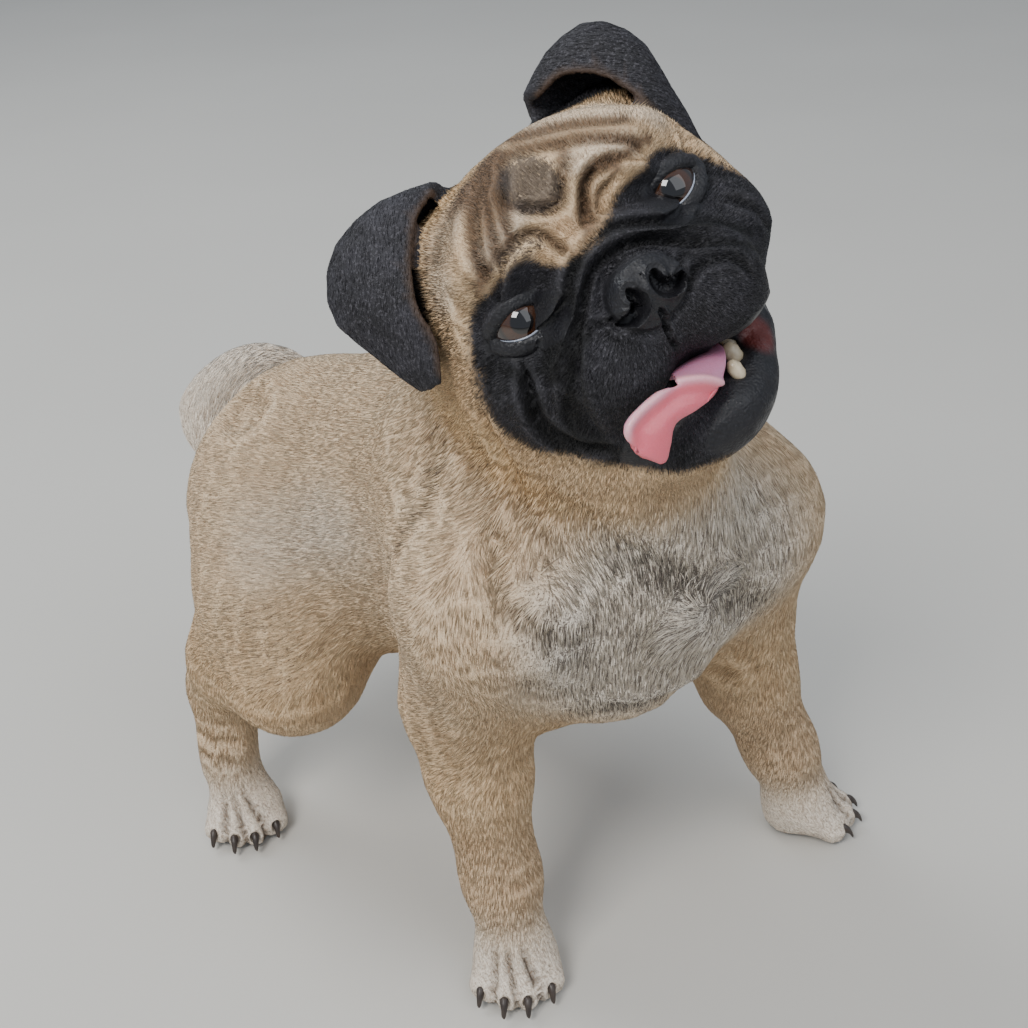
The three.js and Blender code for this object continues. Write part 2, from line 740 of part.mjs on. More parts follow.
const group = new THREE.Group();
for (const { name, solid, colour, roughness } of nodes) {
  const mesh = solid.getMesh();
  const geometry = new THREE.BufferGeometry()
    .setAttribute("position", new THREE.BufferAttribute(new Float32Array(mesh.vertProperties), 3))
    .setIndex(new THREE.BufferAttribute(new Uint32Array(mesh.triVerts), 1));
  geometry.translate(-(low.x + high.x) / 2, -(low.y + high.y) / 2, 0);
  geometry.computeVertexNormals();
  const material = new THREE.MeshStandardMaterial({ color: colour, roughness, metalness: 0 });
  const node = new THREE.Mesh(geometry, material);
  node.name = name;
  group.add(node);
}
export default group;
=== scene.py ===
import math

import bmesh
import bpy
import numpy as np
from mathutils import Matrix, Vector
from mathutils.bvhtree import BVHTree


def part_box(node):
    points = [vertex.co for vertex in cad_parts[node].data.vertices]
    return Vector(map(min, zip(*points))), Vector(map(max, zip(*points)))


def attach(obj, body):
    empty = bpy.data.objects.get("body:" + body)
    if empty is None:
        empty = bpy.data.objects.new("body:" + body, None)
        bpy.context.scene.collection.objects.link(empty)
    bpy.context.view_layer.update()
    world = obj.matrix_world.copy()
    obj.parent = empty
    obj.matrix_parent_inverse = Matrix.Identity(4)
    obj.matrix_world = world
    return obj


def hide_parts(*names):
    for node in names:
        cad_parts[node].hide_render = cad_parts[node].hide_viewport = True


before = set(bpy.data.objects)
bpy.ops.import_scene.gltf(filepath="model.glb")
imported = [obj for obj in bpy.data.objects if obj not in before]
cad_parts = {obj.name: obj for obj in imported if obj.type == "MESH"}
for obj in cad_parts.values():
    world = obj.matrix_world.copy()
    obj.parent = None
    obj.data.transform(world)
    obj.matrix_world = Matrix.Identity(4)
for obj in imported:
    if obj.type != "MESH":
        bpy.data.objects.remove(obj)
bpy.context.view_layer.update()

# The studio: a camera that looks down at the dog's face from its right, a pale floor and
# soft light from above, as on an overcast day. The eyes in the solids carry the frames that
# the places on the head and on the body are given in.
MM = 0.001
eye_centre = {s: sum(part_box(f"eye_{s}"), Vector()) / 2 for s in ("left", "right")}
between_eyes = (eye_centre["left"] + eye_centre["right"]) / 2

face_forward = Vector((-0.468, -0.811, 0.352)).normalized()
head_left = Vector((0.83, -0.267, 0.489))
head_left = (head_left - face_forward * head_left.dot(face_forward)).normalized()
head_up = face_forward.cross(head_left)
head_origin = between_eyes + face_forward * 11 * MM + head_up * 0.75 * MM
eyes_in_body = Vector((-39.63, -56.47, 371.53))
body_origin = between_eyes - eyes_in_body * MM
head_axes = np.array([head_left, -face_forward, head_up])

camera_data = bpy.data.cameras.new("camera")
camera_data.sensor_width = 36
camera_data.lens = 49.13
camera = bpy.data.objects.new("camera", camera_data)
right = Vector((0.742, -0.669, -0.048)).normalized()
forward = Vector((0.557, 0.655, -0.511))
forward = (forward - right * forward.dot(right)).normalized()
look = Matrix((right, right.cross(forward), -forward)).transposed().to_4x4()
camera.matrix_world = Matrix.Translation(body_origin + Vector((-362, -385, 543)) * MM) @ look
bpy.context.scene.collection.objects.link(camera)
bpy.context.scene.camera = camera


def finished(name, bm, material=None, smooth=True):
    """The mesh as an object of that name, in the scene."""
    mesh = bpy.data.meshes.new(name)
    bm.to_mesh(mesh)
    bm.free()
    if smooth:
        mesh.shade_smooth()
    piece = bpy.data.objects.new(name, mesh)
    bpy.context.scene.collection.objects.link(piece)
    if material:
        mesh.materials.append(material)
    return piece


class Socket:
    """A shader socket that takes part in sums: arithmetic on it adds Math nodes."""

    def __init__(self, shader, link):
        self.shader, self.link = shader, link

    def maths(self, operation, *values):
        """The result of one Math node."""
        return self.shader.node("ShaderNodeMath", {"operation": operation}, dict(enumerate(values)))

    def __add__(self, other):
        return self.maths("ADD", self, other)

    def __sub__(self, other):
        return self.maths("SUBTRACT", self, other)

    def __rsub__(self, other):
        return self.maths("SUBTRACT", other, self)

    def __mul__(self, other):
        return self.maths("MULTIPLY", self, other)

    __radd__ = __add__
    __rmul__ = __mul__

    def ramp(self, low, high):
        """0 at low, 1 at high, smooth between."""
        settings = {"interpolation_type": "SMOOTHSTEP"}
        return self.shader.node("ShaderNodeMapRange", settings, {"Value": self, 1: low, 2: high})


class Shader:
    """A material and the nodes in it."""

    def __init__(self, name, **constants):
        self.material = bpy.data.materials.new(name)
        self.material.use_nodes = True
        self.tree = self.material.node_tree
        self.surface = self.tree.nodes["Principled BSDF"]
        for key, value in constants.items():
            self.surface.inputs[key.replace("_", " ")].default_value = value

    def node(self, kind, settings={}, inputs={}, output=0):
        """One of a new node's outputs, its settings made before its inputs are filled."""
        made = self.tree.nodes.new(kind)
        for key, value in settings.items():
            setattr(made, key, value)
        for key, value in inputs.items():
            self.plug(made.inputs[key], value)
        return Socket(self, made.outputs[output])

    def plug(self, socket, value):
        """Links or fills an input."""
        if isinstance(value, Socket):
            self.tree.links.new(value.link, socket)
        elif isinstance(value, tuple) and socket.type == "RGBA":
            socket.default_value = (*value[:3], 1)
        else:
            socket.default_value = value

    def place(self):
        return self.node("ShaderNodeTexCoord", output="Object")

    def noise(self, scale, detail=3, roughness=0.5, vector=None):
        inputs = {"Vector": vector or self.place(), "Scale": scale, "Detail": detail}
        return self.node("ShaderNodeTexNoise", {}, {**inputs, "Roughness": roughness})

    def channels(self, attribute):
        """The three amounts that a colour attribute of the mesh holds."""
        colour = self.node("ShaderNodeAttribute", {"attribute_name": attribute})
        return [self.node("ShaderNodeSeparateColor", {}, {0: colour}, output=i) for i in range(3)]

    def mix(self, factor, a, b):
        """Colour a where the factor is 0, colour b where it is 1."""
        return self.node("ShaderNodeMix", {"data_type": "RGBA"}, {0: factor, 6: a, 7: b}, output=2)

    def bump(self, height, distance, strength=1.0):
        inputs = {"Height": height, "Distance": distance, "Strength": strength}
        return self.node("ShaderNodeBump", {}, inputs)

    def finish(self, **varying):
        """Fills the surface's varying inputs and gives the material."""
        for key, value in varying.items():
            self.plug(self.surface.inputs[key.replace("_", " ")], value)
        return self.material


def srgb(code):
    """A colour from its six hex digits, as linear light."""
    parts = [int(code[i : i + 2], 16) / 255 for i in (0, 2, 4)]
    return tuple(((c + 0.055) / 1.055) ** 2.4 if c > 0.04045 else c / 12.92 for c in parts)


floor_mesh = bmesh.new()
bmesh.ops.create_grid(floor_mesh, x_segments=1, y_segments=1, size=6)
floor_look = Shader("studio_floor", Roughness=0.85)
floor_grain = floor_look.noise(3, 2)
floor_colour = floor_look.mix(floor_grain, srgb("c2bfb8"), srgb("cac7c0"))
floor = finished("floor", floor_mesh, floor_look.finish(Base_Color=floor_colour), smooth=False)

world = bpy.data.worlds.new("studio")
bpy.context.scene.world = world
world.use_nodes = True
world.node_tree.nodes["Background"].inputs[0].default_value = (0.8, 0.88, 1, 1)
world.node_tree.nodes["Background"].inputs[1].default_value = 0.5


def softbox(name, place, size, power, tint=(1, 1, 1)):
    """A square lamp over the dog, turned to its middle. Place is in metres from the floor."""
    lamp_data = bpy.data.lights.new(name, "AREA")
    lamp_data.size = size
    lamp_data.energy = power
    lamp_data.color = tint
    lamp = bpy.data.objects.new(name, lamp_data)
    lamp.location = place
    lamp.rotation_euler = (Vector((0, 0, 0.25)) - Vector(place)).to_track_quat("-Z", "Y").to_euler()
    bpy.context.scene.collection.objects.link(lamp)


softbox("sky_right", (-1.5, -0.5, 1.9), 0.9, 40, (1, 0.985, 0.96))
softbox("sky_front", (0.1, -1.7, 1.9), 2.2, 20, (0.95, 0.97, 1))
softbox("sky_back", (-0.4, 1.5, 2.1), 1.4, 30, (0.93, 0.97, 1))

# Skin: one hide over head, ears, body and legs, with loose folds on brow, nose, throat and
# ankles, and lids round the eyes. It starts as the solids' flesh, grown together and smoothed,
# then each fold is pressed in along its line.
apart = ("eye", "tooth", "claw", "tongue")
flesh = [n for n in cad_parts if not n.startswith(apart)]
grown_by = {"ear": 0.95, "rest": 0.45}
skin_cell = 1.35 * MM
smoothing_rounds = 34
skin_triangles = 106000


def node_copy(node):
    """The mesh of a solid, with its loose triangles joined."""
    bm = bmesh.new()
    bm.from_mesh(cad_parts[node].data)
    bmesh.ops.remove_doubles(bm, verts=bm.verts, dist=1e-6)
    bm.normal_update()
    return bm


grown = bmesh.new()
ear_trees = {}
for name in flesh:
    part = node_copy(name)
    if name.startswith("ear"):
        ear_trees[name] = BVHTree.FromBMesh(part)
    for vert in part.verts:
        vert.co += vert.normal * grown_by["ear" if name.startswith("ear") else "rest"] * MM
    part_mesh = bpy.data.meshes.new("part")
    part.to_mesh(part_mesh)
    part.free()
    grown.from_mesh(part_mesh)
    bpy.data.meshes.remove(part_mesh)
skin = finished("skin", grown)


def applied(piece):
    """Makes the result of a piece's modifiers its own mesh."""
    graph = bpy.context.evaluated_depsgraph_get()
    result = bpy.data.meshes.new_from_object(piece.evaluated_get(graph))
    piece.modifiers.clear()
    piece.data = result


remesh = skin.modifiers.new("fuse", "REMESH")
remesh.mode = "VOXEL"
remesh.voxel_size = skin_cell
applied(skin)


def points_of(mesh):
    """The mesh's vertices as rows of x, y and z in metres."""
    co = np.empty(len(mesh.vertices) * 3)
    mesh.vertices.foreach_get("co", co)
    return co.reshape(-1, 3)


def normals_of(mesh):
    no = np.empty(len(mesh.vertices) * 3)
    mesh.vertex_normals.foreach_get("vector", no)
    return no.reshape(-1, 3)


def set_points(mesh, co):
    mesh.vertices.foreach_set("co", co.ravel())
    mesh.update()


def push_out(mesh, lift):
    """Moves each point along its normal by its lift in millimetres."""
    set_points(mesh, points_of(mesh) + normals_of(mesh) * lift[:, None] * MM)


def smoothed(mesh, rounds, weight=1.0):
    """Points after rounds of smoothing that keep the volume, each as much as its weight."""
    co = points_of(mesh)
    pairs = np.empty(len(mesh.edges) * 2, int)
    mesh.edges.foreach_get("vertices", pairs)
    pairs = pairs.reshape(-1, 2)
    both = np.concatenate([pairs, pairs[:, ::-1]])
    count = np.bincount(both[:, 0], minlength=len(co))[:, None]
    weight = np.broadcast_to(np.asarray(weight, float), len(co))[:, None]
    for step in [0.5, -0.52] * rounds:
        total = np.stack([np.bincount(both[:, 0], co[both[:, 1], i], len(co)) for i in range(3)], 1)
        co = co + (total / count - co) * step * weight
    return co


def in_head(co):
    """Millimetres in the head's frame: to its left, back from the eyes, up."""
    return (co - np.array(head_origin)) @ head_axes.T / MM


def from_head(points):
    """Places in metres, from millimetres in the head's frame."""
    return np.array(head_origin) + points @ head_axes * MM


def in_body(co):
    """Millimetres in the body's frame: to its left, back, up from the floor."""
    return (co - np.array(body_origin)) / MM


def soft(value, low, high):
    """0 at low, 1 at high, smooth between."""
    t = np.clip((value - low) / (high - low), 0, 1)
    return t * t * (3 - 2 * t)


def blob(points, centre, radii):
    """1 in the middle of an ellipsoid, 0.5 near its edge, 0 outside."""
    return soft(-np.linalg.norm((points - centre) / np.array(radii), axis=1), -1.35, -0.65)


def ear_gap(co, limit=6 * MM):
    """How far each point is from the solids of the ears, in millimetres, up to the limit."""
    gap = np.full(len(co), limit)
    head = in_head(co)
    near = np.where((np.abs(head[:, 0]) > 12) & (head[:, 2] > -20) & (head[:, 1] > 2))[0]
    for i in near:
        for tree in ear_trees.values():
            found = tree.find_nearest(Vector(co[i]), limit)
            if found[3] is not None:
                gap[i] = min(gap[i], found[3])
    return gap / MM


def on_ears(co, near=2.2, far=3.6):
    """1 up to the near distance from the ears' solids, 0 beyond the far one."""
    return 1 - soft(ear_gap(co), near, far)


mesh = skin.data
on_ear = on_ears(points_of(mesh), 1.6, 4)
face_blob = ((0, 0, -20), (62, 52, 75))
near_face = blob(in_head(points_of(mesh)), *face_blob)
set_points(mesh, smoothed(mesh, smoothing_rounds, 1 - 0.86 * np.maximum(near_face, 0.6 * on_ear)))
push_out(mesh, -0.55 * on_ear)

thin = skin.modifiers.new("thin", "DECIMATE")
thin.ratio = skin_triangles / sum(len(p.vertices) - 2 for p in mesh.polygons)
applied(skin)
mesh = skin.data

fine = bmesh.new()
fine.from_mesh(mesh)
eye_place = {"left": (33.2, 0.5), "right": (-35.4, -2.3)}


def refine(bm, wanted):
    """Cuts in two each edge of the faces whose middle, in the head's frame, is wanted."""
    faces = list(bm.faces)
    chosen = wanted(in_head(np.array([f.calc_center_median() for f in faces])))
    edges = {edge for face, keep in zip(faces, chosen) if keep for edge in face.edges}
    bmesh.ops.subdivide_edges(bm, edges=list(edges), cuts=1, use_grid_fill=True)


def near_eyes(p, reach):
    """Which points lie within reach of an eye, seen from the front."""
    return sum(np.hypot(p[:, 0] - x, p[:, 2] - z) < reach for x, z in eye_place.values()) > 0


refine(fine, lambda p: blob(p, (-2, 0, -10), (56, 38, 66)) > 0.5)
refine(fine, lambda p: (near_eyes(p, 14) | (np.hypot(p[:, 0] + 1, p[:, 2] + 16) < 15)) & (p[:, 1] < 14))
bmesh.ops.triangulate(fine, faces=[f for f in fine.faces if len(f.verts) > 4])
fine.to_mesh(mesh)
fine.free()
mesh.update()
set_points(mesh, smoothed(mesh, 4, blob(in_head(points_of(mesh)), (0, -4, -22), (58, 44, 70))))


def curve_through(points, steps=6):
    """A smooth line of points through the given ones."""
    given = np.array(points, float)
    ends = np.concatenate([[2 * given[0] - given[1]], given, [2 * given[-1] - given[-2]]])
    t = np.linspace(0, 1, steps, endpoint=False)[:, None]
    line = []
    for a, b, c, d in zip(ends, ends[1:], ends[2:], ends[3:]):
        bend = (2 * a - 5 * b + 4 * c - d) * t**2 + (3 * b - a - 3 * c + d) * t**3
        line.append(0.5 * (2 * b + (c - a) * t + bend))
    return np.concatenate([*line, given[-1:]])


def line_distance(points, line):
    """How far each point is from the line, and how far along it the nearest place lies, 0 to 1."""
    best = np.full(len(points), np.inf)
    along = np.zeros(len(points))
    for i, (a, b) in enumerate(zip(line, line[1:])):
        step = b - a
        t = np.clip(((points - a) @ step) / max(step @ step, 1e-9), 0, 1)
        gap = np.linalg.norm(points - a - t[:, None] * step, axis=1)
        closer = gap < best
        best[closer] = gap[closer]
        along[closer] = ((i + t) / (len(line) - 1))[closer]
    return best, along


def inside(points, outline):
    """How far inside a closed outline each point lies, less than 0 outside."""
    line = curve_through([*outline, outline[0]], 4)
    gap, _ = line_distance(points, line)
    turns = np.zeros(len(points), bool)
    for (ax, ay), (bx, by) in zip(line, line[1:]):
        crosses = (ay > points[:, 1]) != (by > points[:, 1])
        at = ax + (points[:, 1] - ay) * (bx - ax) / (by - ay if by != ay else 1)
        turns ^= crosses & (points[:, 0] < at)
    return np.where(turns, gap, -gap)


def bell(distance, width):
    """1 at no distance, falling off over the width on both sides."""
    return np.exp(-((distance / width) ** 2))


# The folds of the face as x and z from between the eyes, each with its width and depth
nose_roll_top = [(44, -26), (36, -16), (28, -10), (18, -2), (11, 3), (4, 6.6), (-1, 7.4)]
nose_roll_top += [(-5, 7.2), (-10, 6), (-16, 2.3), (-21, -3), (-26, -7.5), (-31, -11), (-36, -15)]
nose_roll_top += [(-40, -21)]
nose_roll_foot = [(43, -33), (34, -23), (27, -18), (20, -12.5), (15.5, -8), (10, -3.5), (3.4, -0.4)]
nose_roll_foot += [(-2.3, 0.4), (-8, 0), (-12, -1.6), (-16, -5), (-20, -9), (-24.4, -13), (-31, -18.5)]
nose_roll_foot += [(-36, -23), (-40.5, -30), (-44, -38), (-44, -46)]
right_brow_fold = [(-42, 12), (-38, 17), (-32, 19.3), (-25.6, 21.1), (-20, 22), (-15.5, 20.2)]
right_brow_fold += [(-12.4, 16), (-11.5, 10), (-12, 5)]
left_brow_fold = [(34, 19), (26.3, 20), (20.8, 22.8), (15.3, 24.6), (11, 23.3), (7, 20.2)]
left_brow_fold += [(3.7, 17), (0.5, 14), (-3, 9)]
face_folds = [
    (nose_roll_top, 1.4, 2.6),
    (nose_roll_foot, 1.3, 2.8),
    (right_brow_fold, 1.4, 2.3),
    (left_brow_fold, 1.4, 2.3),
    ([(-13, 50), (-17.8, 43.4), (-24.5, 38.1), (-32.9, 27), (-37.3, 18.2)], 2.0, 3.8),
    ([(-9, 48), (-13.8, 42.3), (-20, 36.8), (-26.6, 26.9), (-30, 20)], 1.9, 3.4),
    ([(-5, 47), (-8.7, 41.8), (-15.5, 35.5), (-19.8, 28.9), (-22.7, 23)], 1.7, 3.0),
    ([(-10.8, 40.5), (-15.4, 33), (-12.1, 27.4), (-3, 21.8), (3.6, 27.6), (9.5, 33)], 1.7, 3.2),
    ([(20, 21), (14, 22.5), (10.4, 23.6), (6.1, 20.7), (2.8, 13.5), (1.3, 8)], 1.5, 2.6),
    ([(19.1, 18.4), (8.7, 15.6), (5.1, 9)], 1.3, 1.6),
    ([(-7, 45), (-1.5, 43), (3.3, 41), (13, 36), (21, 31), (27.5, 25), (33, 20)], 1.8, 2.6),
    ([(2, 47), (9, 44), (17, 40), (25, 35), (33, 29)], 1.8, 2.2),
    ([(-20, 46), (-26, 42), (-34, 38), (-43, 31)], 1.6, 1.7),
    ([(-52, -2), (-49.1, -10.6), (-44, -16), (-35.1, -15.6), (-25, -8.7), (-20, -2)], 1.4, 2.2),
    ([(20, -2), (26, -6.5), (34, -8.5), (42, -6), (48, 0)], 1.3, 1.8),
    ([(-30, -17), (-36.8, -26.3), (-40.5, -38.1), (-39.5, -50)], 1.6, 3.2),
    ([(-47, -14), (-50, -24), (-51, -34), (-45, -48), (-36, -56)], 1.8, 2.4),
    ([(10, -23), (16, -20.5), (23.4, -21.5), (29.8, -26.7), (32, -36)], 1.3, 1.8),
    ([(-47, -18), (-51, -28), (-52, -38), (-49, -48)], 1.6, 1.7),
    ([(48, -14), (53, -24), (54, -34)], 1.6, 1.4),
    ([(-1.2, -21), (-1.5, -25.6), (-2.4, -30), (-3, -34), (-2.6, -39)], 0.8, 2.5),
    ([(-14.5, -16), (-18, -14.7), (-21, -14.6), (-25, -16.6)], 0.9, 1.7),
    ([(12.5, -16.5), (15.5, -14.5), (19, -15.5)], 0.9, 1.2),
]


def fold(points, line, width, depth, lip=0.45):
    """A pressed line with a soft roll on both sides, fading at its ends."""
    gap, along = line_distance(points, curve_through(line))
    fade = soft(along, 0, 0.14) * soft(-along, -1, -0.86)
    return (lip * depth * bell(gap - 2.2 * width, 1.3 * width) - depth * bell(gap, width)) * fade


def ridge(points, line, width, height):
    """A soft raised line, fading at its ends."""
    gap, along = line_distance(points, curve_through(line))
    return height * bell(gap, width) * soft(along, 0, 0.15) * soft(-along, -1, -0.85)


nose_pad = [(-12, -8.5), (-8, -5.2), (-2, -4.3), (4.5, -5), (10, -8), (12.6, -13), (13, -18), (10.5, -23)]
nose_pad += [(6, -26), (0, -27.3), (-6, -27.3), (-11, -24), (-14.4, -18), (-14.3, -13)]
head_points = in_head(points_of(mesh))
head_normals = normals_of(mesh) @ head_axes.T
frontal = head_points[:, [0, 2]]
facing = soft(-head_normals[:, 1], -0.1, 0.3) * soft(-head_points[:, 1], -34, -22)
facing *= 1 - soft(ear_gap(points_of(mesh)), 4.5, 2.5)
lift = sum(fold(frontal, *values) for values in face_folds)
nose_roll = [((a + c) / 2, (b + d) / 2) for (a, b), (c, d) in zip(nose_roll_top, nose_roll_foot)]
lift += ridge(frontal, nose_roll, 4.2, 2.6)
for brow in ([(-40, 8), (-33, 13), (-24, 15), (-17, 13)], [(36, 13), (28, 15), (19, 17), (12, 16)]):
    lift += ridge(frontal, brow, 4.5, 1.6)
pad_depth = inside(frontal, nose_pad)
lift += 1.3 * soft(pad_depth, -0.3, 1.6) - 0.7 * bell(pad_depth + 0.9, 0.9)
push_out(mesh, lift * facing)

# Lids: an almond opening over each ball, with a thick soft rim and a crease outside it
lid_width = 11.6
lens_power = 0.62
lid_height = {"upper": 6.8, "lower": 5.6}
lid_tilt = math.radians(9)
tilt_cos, tilt_sin = math.cos(lid_tilt), math.sin(lid_tilt)
ball_radius = 11.8
lid_radius = 13.8


def almond(along, height):
    """How far outside the opening a place on the lids is."""
    lens = np.clip(1 - (along / lid_width) ** 2, 0, 1) ** lens_power
    limit = np.where(height > 0, lid_height["upper"], lid_height["lower"]) * lens
    beyond = np.hypot(np.maximum(np.abs(along) - lid_width, 0), height)
    return np.where(np.abs(along) < lid_width, np.abs(height) - limit, beyond)


head_points = in_head(points_of(mesh))
for side, name in ((1, "left"), (-1, "right")):
    centre = in_head(np.array(eye_centre[name])[None])[0]
    away = head_points - centre
    reach = np.linalg.norm(away, axis=1)
    on_ball = centre + away * (lid_radius / np.maximum(reach, 1e-6))[:, None]
    across = (on_ball[:, 0] - eye_place[name][0]) * side
    rise = on_ball[:, 2] - eye_place[name][1]
    along = across * tilt_cos + rise * tilt_sin
    height = rise * tilt_cos - across * tilt_sin
    outside = almond(along, height)
    in_front = soft(-away[:, 1], -1.0, 2.5) * soft(-reach, -30, -22)
    rim = ball_radius + 1.2 + 1.5 * bell(outside - 2.8, 1.8) - 0.9 * bell(outside - 6.2, 1.2)
    open_part = soft(-outside, -0.3, 1.2)
    near = soft(-outside, -10, -3.5)
    closed = np.where(reach < rim, rim, rim * near + reach * (1 - near))
    wanted = closed * (1 - open_part) + (ball_radius - 2.6) * open_part
    target = reach + (wanted - reach) * in_front
    head_points = centre + away * (target / np.maximum(reach, 1e-6))[:, None]

# Nostrils: deep commas that open to the side, pressed back into the nose pad
nostril_line = [(5.0, -11.6), (4.3, -15), (5.8, -18.2), (9.2, -19.3), (12.4, -18.2)]
for side in (1, -1):
    across = (head_points[:, 0] + 1.2) * side
    gap, along = line_distance(np.stack([across, head_points[:, 2]], 1), curve_through(nostril_line))
    width = 1.0 + 1.5 * np.sin(np.clip(along, 0, 1) * math.pi) ** 0.7
    front = soft(-head_points[:, 1], 16, 20)
    hole = 6.5 * soft(-gap / width, -1.25, -0.35)
    wing = 0.9 * bell(gap - 3.6, 1)
    head_points[:, 1] += (hole - wing) * front
set_points(mesh, from_head(head_points))
set_points(mesh, smoothed(mesh, 1, 0.4 * blob(in_head(points_of(mesh)), *face_blob)))

# Loose skin of the body as lines in millimetres from the floor under the chest, width, depth
breast_fold = [(-64, -64, 290), (-49, -69, 266), (-25, -78, 242), (0, -77, 222), (26, -73, 202)]
breast_fold += [(52, -66, 184)]
brisket_fold = [(-47, -50, 174), (-24, -58, 165), (0, -60, 158), (30, -52, 140), (57, -40, 130)]
brisket_fold += [(72, -40, 140)]
body_folds = [
    ([(-88, 152, 62), (-104, 170, 60), (-112, 188, 66)], 3.2, 2.4),
    ([(-84, 148, 50), (-104, 166, 48), (-116, 186, 54)], 3.0, 2.0),
    ([(-88, -26, 328), (-74, -2, 291), (-82, -2, 268), (-90, 8, 240), (-88, 20, 212)], 5, 2.6),
    ([(-83, -41, 326), (-77, -40, 309), (-69, -41, 289), (-66, -42, 272)], 3.4, 2.6),
    ([(-72, -36, 273), (-82, -42, 258), (-84, -52, 244), (-75, -60, 232), (-60, -64, 216)], 5, 3.0),
    (breast_fold, 7, 3.0),
    (brisket_fold, 5, 2.6),
    ([(60, -50, 258), (76, -20, 252), (78, 16, 236)], 6, 2.4),
    ([(-52, -60, 186), (-66, -52, 190), (-82, -52, 212)], 5, 1.8),
    ([(-50, 96, 150), (-64, 88, 160), (-74, 96, 178)], 6, 2.4),
    ([(-70, -20, 66), (-58, -26, 68), (-48, -18, 64)], 3, 0.9),
]
body_points = in_body(points_of(mesh))
lift = sum(fold(body_points, *values, 0.5) for values in body_folds)

# The toes: a groove between each two claws, from the front of the paw over its top
toe_gaps = []
for leg in ("fore_left", "fore_right", "hind_left", "hind_right"):
    tips = in_body(np.array([sum(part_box(f"claw_{i}_{leg}"), Vector()) / 2 for i in (1, 2, 3, 4)]))
    ankle = in_body(np.array(sum(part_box(f"paw_{leg}"), Vector()) / 2)[None])[0] + (0, 9, 0)
    toe_gaps += [(ankle, (first + second) / 2) for first, second in zip(tips, tips[1:])]


def between_toes(body):
    """1 in the grooves between the toes, 0 away from them."""
    depth = np.zeros(len(body))
    low = np.where(body[:, 2] < 36)[0]
    for ankle, tip in toe_gaps:
        way = (tip - ankle)[:2]
        reach = np.hypot(*way)
        off = (body[low] - ankle)[:, :2]
        along = off @ way / reach**2
        gap = np.abs(off[:, 0] * way[1] - off[:, 1] * way[0]) / reach
        here = bell(gap, 1.5) * soft(along, 0.3, 0.62) * soft(-along, -1.5, -1.3)
        depth[low] = np.maximum(depth[low], here * soft(-body[low, 2], -34, -24))
    return depth


toe_groove_depth = 3.4
lift -= toe_groove_depth * between_toes(body_points)

# The rump dips before the root of the tail, and all the skin but the ears' sinks to make
# room for the coat, least on the head
coat_depth = 1.0
rump_dip = 7
lift -= rump_dip * blob(body_points, (-60, 178, 243), (17, 22, 13))
head_points = in_head(points_of(mesh))
on_ear = on_ears(points_of(mesh), 1.6, 4)
on_head = blob(head_points, (0, 4, -20), (62, 44, 72))
lift -= (0.45 + coat_depth * (1 - on_head)) * (1 - on_ear)
push_out(mesh, lift)
mesh.shade_smooth()

# Markings: black mask, thumb mark and ears, cream and silver on brow and chest, as amounts
# from 0 to 1 at each place, which skin and coat both carry. Painted light rides on them too:
# painted shade in folds, toe grooves and tail curl, and painted highlights on thigh and ear rims
mask_outline = [(-55, 0), (-48, 8), (-42, 13), (-36, 13.8), (-28, 16.2), (-21, 14), (-16, 7.7), (-10, 7)]
mask_outline += [(-3, 7.2), (3.4, 9), (11, 12), (18, 14), (27, 14), (34, 15.5), (41, 13), (47, 7), (54, -2)]
mask_outline += [(62, -20), (62, -45), (50, -64), (36, -80), (18, -90), (0, -86), (-21, -78), (-33, -68)]
mask_outline += [(-44, -56), (-55, -44), (-61, -31), (-62, -20), (-59, -8)]
mouth_line = [(-30, -60), (-20, -56), (-10, -54), (0, -54), (12, -54), (24, -53), (34, -53), (39, -51)]
# Lines along the rolled edges of the ears, where a painted highlight goes
ear_rim_highlight_lines = [
    [(-27, 41, 49), (-38, 35, 46), (-51, 27, 34), (-58.5, 21, 22), (-60, 20, 11), (-66, 21, 0)],
    [(24.5, 41, 52), (33.5, 35, 53), (43, 27, 45), (46.5, 18, 31), (47, 15, 20), (50, 16, 9)],
]
thumb_mark = [(-14, 26), (-13, 38), (-4, 41), (3, 37), (2, 25), (-6, 22)]
lower_lip = [(24, -58), (38, -50), (44, -60), (34, -74), (16, -84), (-4, -84), (-14, -72), (0, -64)]
pale_stripes = [[(-20, 47), (-32, 41), (-45, 31), (-52, 18)], [(12, 47), (24, 42), (36, 32), (44, 22)]]
pale_stripes += [[(-15, 28), (-24, 25.5), (-34, 23)], [(9, 29), (18, 28.5), (27, 24)]]
# The line of the hollow in the tail's curl, which is painted dark as shade
painted_tail_hole_shade = [(-34, 230, 206), (-20, 226, 212), (0, 222, 208)]


def head_reach(head):
    """How far out each point lies from the middle of the head, 1 at the neck and the ears."""
    return np.linalg.norm((head - (0, 30, -8)) / (88, 75, 92), axis=1)


def stroke(points, line, core, edge, steps=3):
    """1 within the core's distance of a line, 0 beyond the edge's."""
    return 1 - soft(line_distance(points, curve_through(line, steps))[0], core, edge)


